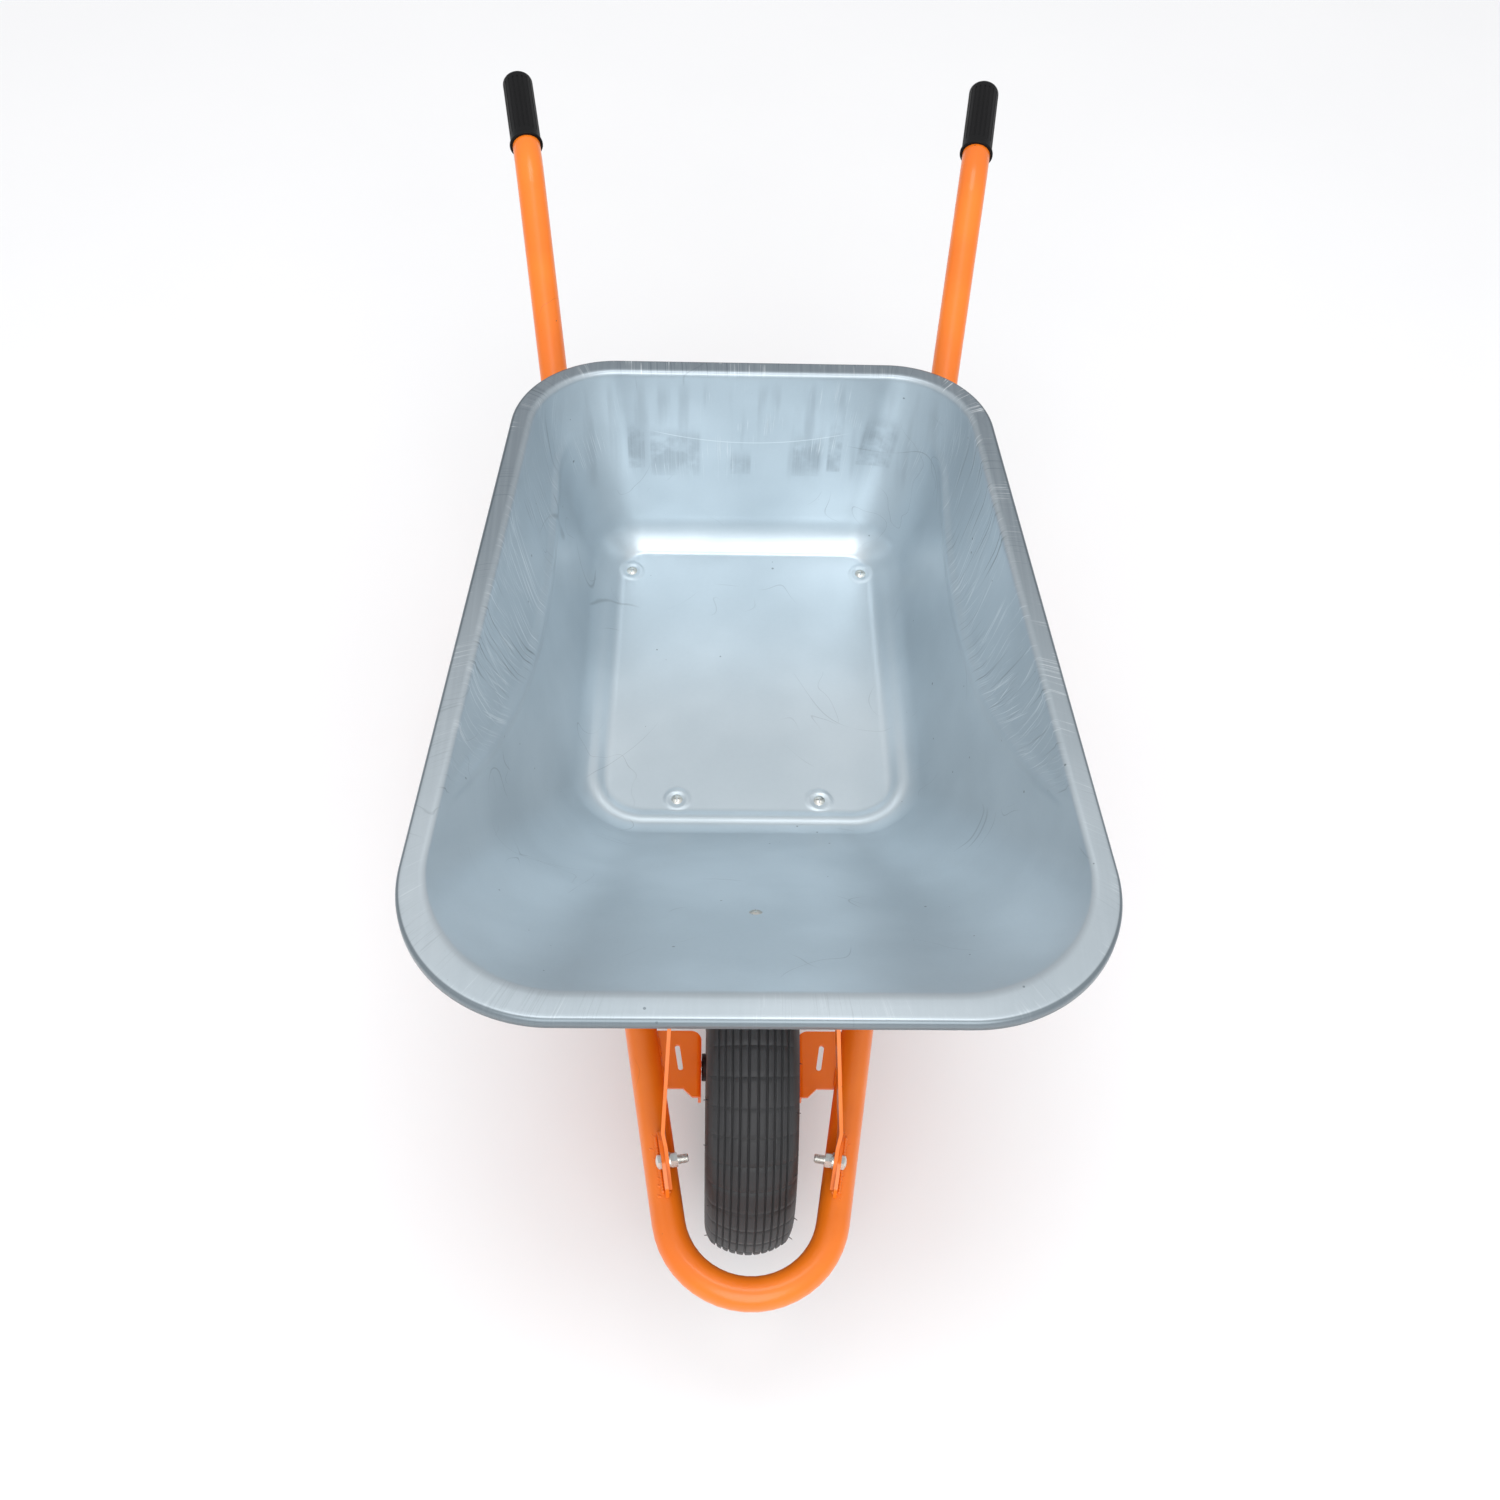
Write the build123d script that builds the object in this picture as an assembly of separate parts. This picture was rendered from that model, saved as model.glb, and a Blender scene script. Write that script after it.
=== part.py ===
from build123d import *
import math
import os

# A single-wheel steel wheelbarrow: a pressed tray on one bent tube that runs from grip to grip
# round the front of the wheel. Millimetres, +Z up, the nose towards -Y and the grips towards +Y.
# The y values below are measured from the axle; everything is moved at the end so that the
# origin is on the ground under the middle of the whole barrow.

# ---- frame tube, placed round the wheel
wheel_radius = 184.0
tube_d = 32.0
tube_wall = 1.6
tube_above_axle = 34.0
tube_axis_z = wheel_radius + tube_above_axle    # height of the level part of the tube
splay = 9.1                  # degrees that each arm opens from straight ahead
nose_radius = 79.0           # centre line of the bend round the wheel
nose_gap = 41.0              # between the tyre and the tube in front of it
nose_centre_y = nose_radius - (wheel_radius + nose_gap + tube_d / 2)
rise_y = 540.0               # corner where the arms turn up
rise_bend_radius = 150.0
handle_y = 949.0             # corner where the arms turn back to nearly level
handle_rise = 355.0          # above the level part of the tube
handle_z = tube_axis_z + handle_rise
handle_bend_radius = 80.0
grip_end_y = 1091.0
grip_end_rise = 367.0
grip_end_z = tube_axis_z + grip_end_rise

# ---- grips
grip_length = 115.0
grip_wall = 1.6
grip_end_wall = 4.0
grip_flange_height = 1.65    # beyond the grip's own surface
grip_flange_d = tube_d + 2 * (grip_wall + grip_flange_height)
grip_flange_length = 4.0
grip_tip_radius = 7.0
grip_flutes = 20
flute_radius = 1.1
flute_sink = 0.45            # share of its radius that a flute's centre stands out
flute_start = 12.0           # from the grip's end face
flute_end_gap = 14.0         # from the mouth of the grip
grip_flange_round = 1.2

# ---- tray
tray_t = 1.2
tray_front_y = -133.0        # outer edge of the lip
tray_rear_y = 693.0
tray_front_rise = 349.0      # the lip above the level part of the tube
tray_rear_rise = 288.0
tray_front_z = tube_axis_z + tray_front_rise
tray_rear_z = tube_axis_z + tray_rear_rise
tray_front_half = 317.6      # half widths at the sharp corners of the lip outline
tray_rear_half = 249.2
tray_front_corner = 136.0
tray_rear_corner = 109.0
lip_side = 20.0
lip_front = 25.0
lip_turn_down = 9.0
mouth_front_corner = 125.0
mouth_rear_corner = 90.0
lip_return = 1.8             # how far the rolled edge is folded back under the lip
floor_behind_wheel = 68.0
floor_front_y = wheel_radius + floor_behind_wheel    # where flat floor and flat walls would meet
floor_rear_y = 658.0
floor_front_half = 184.0
floor_rear_half = 176.0
floor_front_corner = 70.0
floor_rear_corner = 58.0
floor_edge_radius = 24.0

# ---- plates and straps
plate_t = 3.0
front_plate_back = 39.0      # behind the floor's front edge
front_plate_y = floor_front_y + front_plate_back
front_plate_width = 44.0
front_screw_half = 78.0
rear_strap_y = 620.0
rear_strap_width = 40.0
rear_screw_half = 138.0
brace_z = 118.0
brace_width = 32.0
strap_tab_drop = 38.0
tab_bolt_low = 2.0           # the bolt sits this far below the middle of the turned end
seat_gap = 0.1               # paint and fit gap between touching pieces

# ---- legs
leg_d = 25.0
leg_wall = 1.5
leg_front_y = 405.0
leg_heel_y = 500.0
leg_toe_y = 610.0
leg_bend_radius = 50.0
leg_top_back = 3.0           # behind the middle of the rear strap
leg_bolt_spare = 18.0        # the bolt's length beyond the leg's diameter
foot_plate_t = 3.0
foot_plate_length = 70.0
foot_plate_width = 32.0
foot_plate_forward = 6.0     # in front of the middle of the leg's level run
foot_plate_corner = 8.0

# ---- axle brackets
flange_gap = 97.0            # between the two flanges that hold the axle
bracket_t = 3.0
bracket_front_y = -38.0
bracket_rear_y = 24.0
bracket_nib = 9.0            # how far the flange stands in front of the plate
bracket_corner = 12.0
bracket_slot_length = 28.0
bracket_slot_width = 5.0
bracket_slot_x = 71.0
bracket_slot_y = -5.0
bracket_eye_radius = 20.0
bracket_bend_radius = 2.0    # inside the bend between plate and flange
bracket_shoulder = 14.0      # how far the flange stays full width below the tube's axis
eye_reach, eye_drop = 0.8, 0.6   # where the flange's sides meet the eye, as shares of its radius

# ---- front strap under the tray's nose
strap_t = 3.5
strap_width = 25.0
strap_bolt_y = -123.0
strap_bolt_rise = 11.0       # above the top of the tube
strap_bolt_z = tube_axis_z + tube_d / 2 + strap_bolt_rise
strap_palm_length = 34.0
strap_tail = 24.0
strap_top_half = 73.0
strap_bend_radius = 7.0
palm_twist = 0.55            # share of the palm's length where the twist starts
strap_bolt_length = 26.0
tab_t = 3.5
tab_inset = 2.2              # from the arm's centre plane in to the tab's middle
tab_length = 66.0
tab_height = 23.0
tab_front_cut = (26.0, 4.0, 12.0)   # along the top, along the foot, down
tab_rear_cut = (18.0, 6.0)          # along the top, down
tab_corner = 5.0

# ---- wheel
tyre_width = 88.0
bead_radius = 102.0
rim_seat_half = 31.0
rim_flange_radius = 113.0
rim_t = 2.0
rim_well_radius = 74.0
rim_bolt_radius = 46.0
rim_bolt_count = 4
tyre_side_wall = 4.5
tyre_crown_wall = 9.0
crown_radius = 62.0
shoulder_half = 37.0
groove_width = 1.8
groove_depth = 2.4
groove_places = (4.4, 12.4, 19.6, 26.2, 32.2)
tube_skin = 2.0
tube_rise = 12.0             # the inner tube's middle above the middle of its space
tube_room = 5.0              # between the inner tube and the tyre's side walls
tube_crown_room = 2.0        # between the inner tube and the tyre's crown
hub_d = 41.0
hub_half = 40.0
hub_bore_d = 31.0
bearing_od = 35.0
bearing_id = 15.0
bearing_width = 11.0
ball_d = 6.0
ball_count = 8
running_gap = 0.05
press_gap = 0.01
side_gap = 0.5               # between a turning face and a still one
cap_d = 28.0
cap_flange_d = 39.0
cap_flange_t = 1.5
valve_x = 13.0
valve_d = 9.0
valve_length = 30.0
valve_root = 9.0             # the valve's foot above the rim's well
valve_thread_length = 7.0
valve_step = 1.6             # how much thinner the threaded tip is, on the radius
valve_cap_length = 9.0
valve_cap_end = 1.8
valve_cap_inset = 0.4

# ---- fasteners: thread, head across flats, head height, nut height, washer diameter
m6 = dict(d=6.0, af=10.0, head=4.0, nut=5.0, washer_d=12.0, washer_t=1.6)
m8 = dict(d=8.0, af=13.0, head=5.3, nut=6.5, washer_d=16.0, washer_t=1.6)
m12 = dict(d=12.0, af=19.0, head=7.5, nut=10.0, washer_d=24.0, washer_t=2.5)
hole_gap = 0.25              # radial clearance of a bolt in its hole
pan_head_d = 15.5
pan_head_height = 3.2
recess_width = 1.3
recess_depth = 2.2
floor_screw_length = 18.0
slope_screw_length = 16.0
rim_bolt_length = 14.0
axle_bolt_spare = 4.0        # bolt end beyond the axle's nut
head_crown = 0.93            # radius of a bolt head's rounding, as a share of its width
nut_crown = 0.6
bolt_end_chamfer = 0.08
slope_screw = m6

# ---- worked out from the sizes above
tube_r = tube_d / 2
lean = math.radians(splay)
axle_z = wheel_radius
tangent_x = nose_radius * math.cos(lean)
tangent_y = nose_centre_y - nose_radius * math.sin(lean)
nose_apex_y = nose_centre_y - nose_radius / math.sin(lean)
tray_bottom_z = tube_axis_z + tube_r + plate_t + 2 * seat_gap
floor_z = tray_bottom_z + tray_t
leg_bolt_drop = strap_tab_drop / 2 + tab_bolt_low
nose_front_y = nose_centre_y - nose_radius - tube_r
middle_y = (nose_front_y + grip_end_y) / 2
leg_axis_z = foot_plate_t + seat_gap + leg_d / 2
rim_angle = math.atan2(tray_front_z - tray_rear_z, tray_rear_y - tray_front_y)


# ---- shared helpers

def arm_x(y):
    # distance of the tube's centre line from the middle plane, at a place y along the barrow
    return tangent_x + (y - tangent_y) * math.tan(lean)


def arm_height(y):
    # height of the tube's centre line, level in front of its rise and sloping up behind it
    return tube_axis_z + max(0, y - rise_y) * (handle_z - tube_axis_z) / (handle_y - rise_y)


def arm_point(y, z):
    return (arm_x(y), y, z)


def arm_plane(y, z):
    # x along the arm, y up, normal pointing outwards, on the right-hand arm
    along = (math.sin(lean), math.cos(lean), 0)
    outward = (math.cos(lean), -math.sin(lean), 0)
    return Plane(origin=arm_point(y, z), x_dir=along, z_dir=outward)


def rounded_path(points, radii):
    # straight runs joined by tangent arcs, one radius for each inner corner
    corners = [Vector(*p) for p in points]
    edges = []
    start = corners[0]
    for before, corner, after, radius in zip(corners, corners[1:], corners[2:], radii):
        back = (before - corner).normalized()
        ahead = (after - corner).normalized()
        half = math.radians(back.get_angle(ahead)) / 2
        inward = (back + ahead).normalized()
        first = corner + back * (radius / math.tan(half))
        last = corner + ahead * (radius / math.tan(half))
        middle = corner + inward * (radius / math.sin(half) - radius)
        edges.append(Line(start, first))
        edges.append(ThreePointArc(first, middle, last))
        start = last
    edges.append(Line(start, corners[-1]))
    return Wire(edges)


def swept_rod(path, radius):
    section = Plane(origin=path @ 0, z_dir=path % 0) * Circle(radius)
    return sweep(section, path=path)


def swept_tube(path, radius, wall):
    return swept_rod(path, radius) - swept_rod(path, radius - wall)


def rod(start, direction, length, radius):
    return extrude(Plane(origin=start, z_dir=direction) * Circle(radius), amount=length)


def outline_of(points):
    # a flat face drawn counter-clockwise, so that it always faces the same way
    area = sum(a[0] * b[1] - b[0] * a[1] for a, b in zip(points, points[1:] + points[:1]))
    return Polygon(*(points if area > 0 else points[::-1]), align=None)


def sheet_outline(points, thickness):
    # closed outline of a sheet whose middle line follows the points, with mitred corners
    mids = [Vector(*p, 0) for p in points]
    runs = [(b - a).normalized() for a, b in zip(mids, mids[1:])]
    sides = [Vector(-r.Y, r.X, 0) for r in runs]
    left = []
    right = []
    for i, p in enumerate(mids):
        a = sides[max(i - 1, 0)]
        b = sides[min(i, len(sides) - 1)]
        push = (a + b) * (thickness / 2 / (1 + a.dot(b)))
        left.append(p + push)
        right.append(p - push)
    return outline_of([(v.X, v.Y) for v in left + right[::-1]])


def on_wheel(profile):
    # turns a profile drawn as (x along the axle, y = radius) round the axle
    flat = Plane(origin=(0, 0, axle_z), x_dir=(1, 0, 0), z_dir=(0, -1, 0)) * profile
    return revolve(flat, axis=Axis((0, 0, axle_z), (1, 0, 0)))


def ring_on_wheel(x_low, x_high, r_in, r_out):
    middle = ((x_low + x_high) / 2, (r_in + r_out) / 2)
    return on_wheel(Pos(*middle) * Rectangle(x_high - x_low, r_out - r_in))


def mirrored(part):
    return mirror(part, about=Plane.YZ)


# ---- fasteners, each drawn with its thread along +Z and its bearing face at z = 0

def hex_bolt(size, length):
    head = extrude(RegularPolygon(size["af"] / 2, 6, major_radius=False), amount=size["head"])
    ball = size["af"] * head_crown
    crown = head & Pos(0, 0, size["head"] - ball) * Sphere(ball)
    shank = extrude(Circle(size["d"] / 2), amount=length)
    end = chamfer(shank.edges().sort_by(Axis.Z)[-1], size["d"] * bolt_end_chamfer)
    return Rot(180, 0, 0) * crown + end


def hex_nut(size):
    body = extrude(RegularPolygon(size["af"] / 2, 6, major_radius=False), amount=size["nut"])
    ball = Pos(0, 0, size["nut"] / 2) * Sphere(size["af"] * nut_crown)
    return (body & ball) - extrude(Circle(size["d"] / 2 + press_gap), amount=size["nut"])


def washer(size):
    hole = size["d"] / 2 + hole_gap
    return extrude(Circle(size["washer_d"] / 2) - Circle(hole), amount=size["washer_t"])


def pan_screw(size, length):
    base = pan_head_d / 2
    ball = (base ** 2 + pan_head_height ** 2) / (2 * pan_head_height)
    dome = Pos(0, 0, pan_head_height - ball) * Sphere(ball)
    head = extrude(Circle(base), amount=pan_head_height) & dome
    arm = Rectangle(base, recess_width) + Rectangle(recess_width, base)
    recess = Pos(0, 0, pan_head_height) * extrude(arm, amount=-recess_depth)
    shank = extrude(Circle(size["d"] / 2), amount=length)
    return Rot(180, 0, 0) * (head - recess) + shank


def facing(point, direction):
    # a place whose z runs along the given direction
    return Plane(origin=point, z_dir=direction).location


# ---- frame

def grip_tip():
    # middle of the grip's end face, set back so that its tilted edge reaches grip_end_y
    handle = Vector(*arm_point(handle_y, handle_z))
    along = (Vector(*arm_point(grip_end_y, grip_end_z)) - handle).normalized()
    edge = (tube_r + grip_wall - grip_tip_radius) * math.sqrt(1 - along.Y ** 2)
    reach = edge + grip_tip_radius * (1 - along.Y)
    y = grip_end_y - reach
    z = grip_end_z - reach * along.Z / along.Y
    return Vector(*arm_point(y, z)), along


def arm_corners():
    tip, along = grip_tip()
    end = tip - along * grip_end_wall
    return [tuple(end), arm_point(handle_y, handle_z), arm_point(rise_y, tube_axis_z)]


def frame_path():
    right = arm_corners()
    left = [(-x, y, z) for x, y, z in right]
    apex = (0, nose_apex_y, tube_axis_z)
    bends = [handle_bend_radius, rise_bend_radius, nose_radius, rise_bend_radius, handle_bend_radius]
    return rounded_path(right + [apex] + left[::-1], bends)


def level_arm_envelope(gap):
    # the straight level part of the right arm, a little oversize, for trimming what meets it
    start = Vector(*arm_point(tangent_y, tube_axis_z))
    along = Vector(math.sin(lean), math.cos(lean), 0)
    length = (rise_y - tangent_y) / math.cos(lean)
    return rod(start, along, length, tube_r + gap)


def rising_arm_envelope(gap):
    start = Vector(*arm_point(rise_y, tube_axis_z))
    end = Vector(*arm_point(handle_y, handle_z))
    return rod(start, end - start, (end - start).length, tube_r + gap)


def make_front_plate():
    half = arm_x(front_plate_y)
    z = tube_axis_z + tube_r + seat_gap + plate_t / 2
    plate = Pos(0, front_plate_y, z) * Box(2 * half, front_plate_width, plate_t)
    for side in (-1, 1):
        place = (side * front_screw_half, front_plate_y, z)
        plate -= Pos(*place) * Cylinder(m8["d"] / 2 + hole_gap, plate_t)
    return plate


def cross_strap(y, width, top_z):
    # a flat strap between the two legs, its ends turned down along their inner sides
    inset = (leg_d / 2 + seat_gap) / math.cos(lean)
    flat_z = top_z - plate_t / 2
    front = arm_x(y - width / 2) - inset
    rear = arm_x(y + width / 2) - inset
    outline = outline_of([
        (front, y - width / 2), (rear, y + width / 2),
        (-rear, y + width / 2), (-front, y - width / 2)])
    strap = Pos(0, 0, top_z) * extrude(outline, amount=-plate_t)
    tab_plane = arm_plane(y, flat_z)
    outline = Pos(0, (plate_t - strap_tab_drop) / 2) * Rectangle(width / math.cos(lean), strap_tab_drop)
    tab = extrude(tab_plane * outline, amount=-plate_t)
    outward = tab_plane.z_dir
    tab = Pos(*(outward * -(leg_d / 2 + seat_gap))) * tab
    bolt = tab_plane.origin + Vector(0, 0, -leg_bolt_drop)
    tab -= rod(bolt - outward * leg_d, outward, leg_d, m8["d"] / 2 + hole_gap)
    return strap + tab + mirrored(tab)


def strap_bolt_place(y, top_z):
    # where a cross strap's bolt crosses the leg's centre plane, and the way its tip points
    plane = arm_plane(y, top_z - plate_t / 2)
    return plane.origin + Vector(0, 0, -leg_bolt_drop), plane.z_dir * -1


def make_rear_strap():
    strap = cross_strap(rear_strap_y, rear_strap_width, tray_bottom_z - seat_gap)
    for side in (-1, 1):
        place = (side * rear_screw_half, rear_strap_y, tray_bottom_z)
        strap -= Pos(*place) * Cylinder(m8["d"] / 2 + hole_gap, 4 * plate_t)
    return strap


# ---- legs

def leg_top_y():
    return rear_strap_y + leg_top_back


def leg_lean_y(z):
    # place along the barrow of the leg's rear branch at a height z
    top_y = leg_top_y()
    top_z = arm_height(top_y)
    return leg_toe_y + (top_y - leg_toe_y) * (z - leg_axis_z) / (top_z - leg_axis_z)


def brace_y():
    return leg_lean_y(brace_z)


def make_leg():
    path = rounded_path(
        [arm_point(leg_front_y, tube_axis_z), arm_point(leg_heel_y, leg_axis_z),
         arm_point(leg_toe_y, leg_axis_z), arm_point(leg_top_y(), arm_height(leg_top_y()))],
        [leg_bend_radius, leg_bend_radius])
    leg = swept_tube(path, leg_d / 2, leg_wall)
    leg -= level_arm_envelope(seat_gap)
    leg -= rising_arm_envelope(seat_gap)
    for y, top_z in ((rear_strap_y, tray_bottom_z - seat_gap), (brace_y(), brace_z)):
        place, inward = strap_bolt_place(y, top_z)
        leg -= rod(place - inward * leg_d, inward, 2 * leg_d, m8["d"] / 2 + hole_gap)
    return max(leg.solids(), key=lambda s: s.volume)


def make_foot_plate():
    middle = (leg_heel_y + leg_toe_y) / 2 - foot_plate_forward
    along = Rot(0, 0, -splay) * Box(foot_plate_width, foot_plate_length, foot_plate_t)
    plate = Pos(arm_x(middle), middle, foot_plate_t / 2) * along
    return fillet(plate.edges().filter_by(Axis.Z), foot_plate_corner)


def leg_fasteners():
    bolts = []
    nuts = []
    rings = []
    for y, top_z in ((rear_strap_y, tray_bottom_z - seat_gap), (brace_y(), brace_z)):
        place, inward = strap_bolt_place(y, top_z)
        reach = leg_d / 2 + seat_gap
        head = place - inward * (reach + m8["washer_t"])
        bolts.append(facing(head, inward) * hex_bolt(m8, leg_d + leg_bolt_spare))
        rings.append(facing(head, inward) * washer(m8))
        nut = place + inward * (reach + plate_t + seat_gap)
        nuts.append(facing(nut, inward) * hex_nut(m8))
    return both_sides(bolts), both_sides(nuts), both_sides(rings)


def both_sides(parts):
    return Compound(children=parts + [mirrored(p) for p in parts])


# ---- axle brackets

def make_bracket():
    inner = flange_gap / 2
    top = tube_axis_z + bracket_t / 2
    low = axle_z - bracket_eye_radius
    outer = arm_x(bracket_rear_y)
    corner = (inner + bracket_t / 2, tube_axis_z)
    section = sheet_outline([(outer, tube_axis_z), corner, (corner[0], low)], bracket_t)
    length = bracket_rear_y - bracket_front_y + bracket_nib
    front = bracket_front_y - bracket_nib
    plane = Plane(origin=(0, front, 0), x_dir=(1, 0, 0), z_dir=(0, -1, 0))
    part = extrude(plane * section, amount=-length)
    bend = part.edges().filter_by(Axis.Y)
    outer_bend = bend.sort_by_distance((inner, (front + bracket_rear_y) / 2, top))[0]
    part = fillet(outer_bend, bracket_bend_radius + bracket_t)
    plan = outline_of([
        (inner - 1, front), (inner + bracket_nib, front), (inner + 2 * bracket_nib, bracket_front_y),
        (outer + 1, bracket_front_y), (outer + 1, bracket_rear_y), (inner - 1, bracket_rear_y)])
    plan = fillet(plan.vertices().sort_by_distance((inner, bracket_rear_y))[0], bracket_corner)
    part &= Pos(0, 0, low) * extrude(plan, amount=top - low)
    eye = Pos(0, axle_z) * Circle(bracket_eye_radius)
    shoulder = tube_axis_z - bracket_shoulder
    reach = bracket_eye_radius * eye_reach
    meet = axle_z - bracket_eye_radius * eye_drop
    side = outline_of([
        (front, top), (front, shoulder), (-reach, meet), (reach, meet),
        (bracket_rear_y, shoulder), (bracket_rear_y, top)])
    view = Plane(origin=(inner - 1, 0, 0), x_dir=(0, 1, 0), z_dir=(1, 0, 0))
    part &= extrude(view * (side + eye), amount=outer)
    part -= level_arm_envelope(seat_gap)
    part -= rod((inner - 1, 0, axle_z), (1, 0, 0), bracket_t + 2, m12["d"] / 2 + hole_gap)
    slot = Rot(0, 0, -splay) * SlotOverall(bracket_slot_length, bracket_slot_width, rotation=90)
    slot = extrude(slot, amount=bracket_t, both=True)
    part -= Pos(bracket_slot_x, bracket_slot_y, tube_axis_z) * slot
    return max(part.solids(), key=lambda s: s.volume)


# ---- front strap

def slope_line():
    # the middle of the tray's front wall, inner face: a point and the direction up the slope
    low = Vector(0, floor_front_y, floor_z)
    high = Vector(0, tray_front_y + lip_front, tray_front_z - lip_front * math.tan(rim_angle))
    return low, (high - low).normalized()


def strap_axes():
    # along: from the bolts square up to the tray's slope; across: the strap's width direction
    low, up_slope = slope_line()
    along = Vector(0, up_slope.Z, -up_slope.Y)
    bolt = Vector(0, strap_bolt_y, strap_bolt_z)
    slope_distance = (low - bolt).dot(along)
    return bolt, along, up_slope, slope_distance


def palm_middle(side, rise):
    # centre of the strap's lower end, which lies flat on the tab, a rise above its bolt
    bolt, along, _, _ = strap_axes()
    y = strap_bolt_y + along.Y * rise
    inset = tab_inset + tab_t / 2 + seat_gap + strap_t / 2
    return Vector(side * (arm_x(y) - inset / math.cos(lean)), y, strap_bolt_z + along.Z * rise)


def strap_plane():
    # x across the barrow, y from the bolts square up to the tray's slope
    bolt, along, _, _ = strap_axes()
    return Plane(origin=bolt, x_dir=(1, 0, 0), z_dir=Vector(1, 0, 0).cross(along))


def strap_top():
    # distance from the bolts to the middle of the strap's cross piece
    return strap_axes()[3] - tray_t - seat_gap - strap_t / 2


def make_front_strap():
    bolt, along, _, _ = strap_axes()
    top = strap_top()
    rise = strap_palm_length
    low_half = palm_middle(1, rise).X
    line = [(-low_half, rise), (-strap_top_half, top), (strap_top_half, top), (low_half, rise)]
    outline = sheet_outline(line, strap_t)
    for side in (-1, 1):
        for reach, radius in ((strap_t, strap_bend_radius + strap_t), (-strap_t, strap_bend_radius)):
            spot = (side * (strap_top_half + reach), top + reach)
            outline = fillet(outline.vertices().sort_by_distance(spot)[0], radius)
    strap = extrude(strap_plane() * outline, amount=strap_width / 2, both=True)
    palm = make_palm(along, rise, math.atan2(low_half - strap_top_half, top - rise))
    strap = strap + palm + mirrored(palm)
    hole = rod(bolt + along * (top - 4 * strap_t), along, 8 * strap_t, slope_screw["d"] / 2 + hole_gap)
    return strap - hole


def make_palm(along, rise, bar_lean):
    # the lower end turns through the arm's splay so that it lies flat on its tab
    across = Vector(1, 0, 0)
    bar = along * math.cos(bar_lean) - across * math.sin(bar_lean)
    flat_x = across * math.cos(bar_lean) + along * math.sin(bar_lean)
    flat = Plane(origin=palm_middle(1, rise), x_dir=flat_x, z_dir=bar)
    outward = Vector(math.cos(lean), -math.sin(lean), 0)
    run = Vector(math.sin(lean) * along.Y, math.cos(lean) * along.Y, along.Z).normalized()
    start = palm_middle(1, 0)
    turned_rise = rise * palm_twist
    turned = Plane(origin=start + run * turned_rise, x_dir=outward, z_dir=run)
    section = Rectangle(strap_t, strap_width)
    twist = loft([turned * section, flat * section])
    palm = extrude(turned * section, amount=-(turned_rise + strap_tail))
    hole = rod(start - outward * strap_t * 2, outward, strap_t * 4, m8["d"] / 2 + hole_gap)
    part = twist + palm - hole - level_arm_envelope(seat_gap)
    return max(part.solids(), key=lambda s: s.volume)


def make_tab():
    along = Vector(math.sin(lean), math.cos(lean), 0)
    plane = arm_plane(strap_bolt_y, tube_axis_z)
    foot = math.sqrt((tube_r + seat_gap) ** 2 - (tab_inset - tab_t / 2) ** 2)
    low = foot + seat_gap
    high = tube_r + tab_height
    half = tab_length / 2
    front_top, front_foot, front_down = tab_front_cut
    rear_top, rear_down = tab_rear_cut
    outline = outline_of([
        (-half, low), (half, low), (half - rear_down, high - rear_down), (half - rear_top, high),
        (front_top - half, high), (front_foot - half, high - front_down)])
    rounded = [v for v in outline.vertices() if v.Y > low + 1]
    outline = fillet(rounded, tab_corner)
    tab = extrude(plane * outline, amount=tab_t / 2, both=True)
    inward = plane.z_dir * -tab_inset
    tab = Pos(*inward) * tab
    bolt = palm_middle(1, 0)
    return tab - rod(bolt - plane.z_dir * tube_r, plane.z_dir, tube_d, m8["d"] / 2 + hole_gap)


def strap_fasteners():
    outward = Vector(math.cos(lean), -math.sin(lean), 0)
    palm = palm_middle(1, 0)
    head = palm + outward * (strap_t / 2 + seat_gap + tab_t + seat_gap)
    bolt = facing(head, outward * -1) * hex_bolt(m8, strap_bolt_length)
    ring_at = palm - outward * (strap_t / 2 + seat_gap)
    ring = facing(ring_at, outward * -1) * washer(m8)
    nut = facing(ring_at - outward * (m8["washer_t"] + seat_gap), outward * -1) * hex_nut(m8)
    return both_sides([bolt]), both_sides([nut]), both_sides([ring])


# ---- tray

def rounded_outline(front_y, rear_y, front_half, rear_half, front_corner, rear_corner):
    outline = outline_of([
        (-front_half, front_y), (front_half, front_y), (rear_half, rear_y), (-rear_half, rear_y)])
    outline = fillet(outline.vertices().sort_by(Axis.Y)[:2], front_corner)
    sharp = outline.vertices().sort_by_distance((rear_half, rear_y))[0]
    outline = fillet(sharp, rear_corner)
    sharp = outline.vertices().sort_by_distance((-rear_half, rear_y))[0]
    return fillet(sharp, rear_corner)


def rim_plane():
    # the tilted plane of the lip's top face, its y running from the lip's front edge to the rear
    back = Vector(0, math.cos(rim_angle), -math.sin(rim_angle))
    return Plane(origin=(0, tray_front_y, tray_front_z), x_dir=(1, 0, 0), z_dir=Vector(1, 0, 0).cross(back))


def lip_outline(inset_side, inset_front, front_corner, rear_corner):
    length = (tray_rear_y - tray_front_y) / math.cos(rim_angle)
    taper = (tray_front_half - tray_rear_half) / length
    side = inset_side * math.sqrt(1 + taper ** 2)
    front_half = tray_front_half - side - inset_front * taper
    rear_half = tray_rear_half - side + inset_side * taper
    return rounded_outline(
        inset_front, length - inset_side, front_half, rear_half, front_corner, rear_corner)


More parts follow.
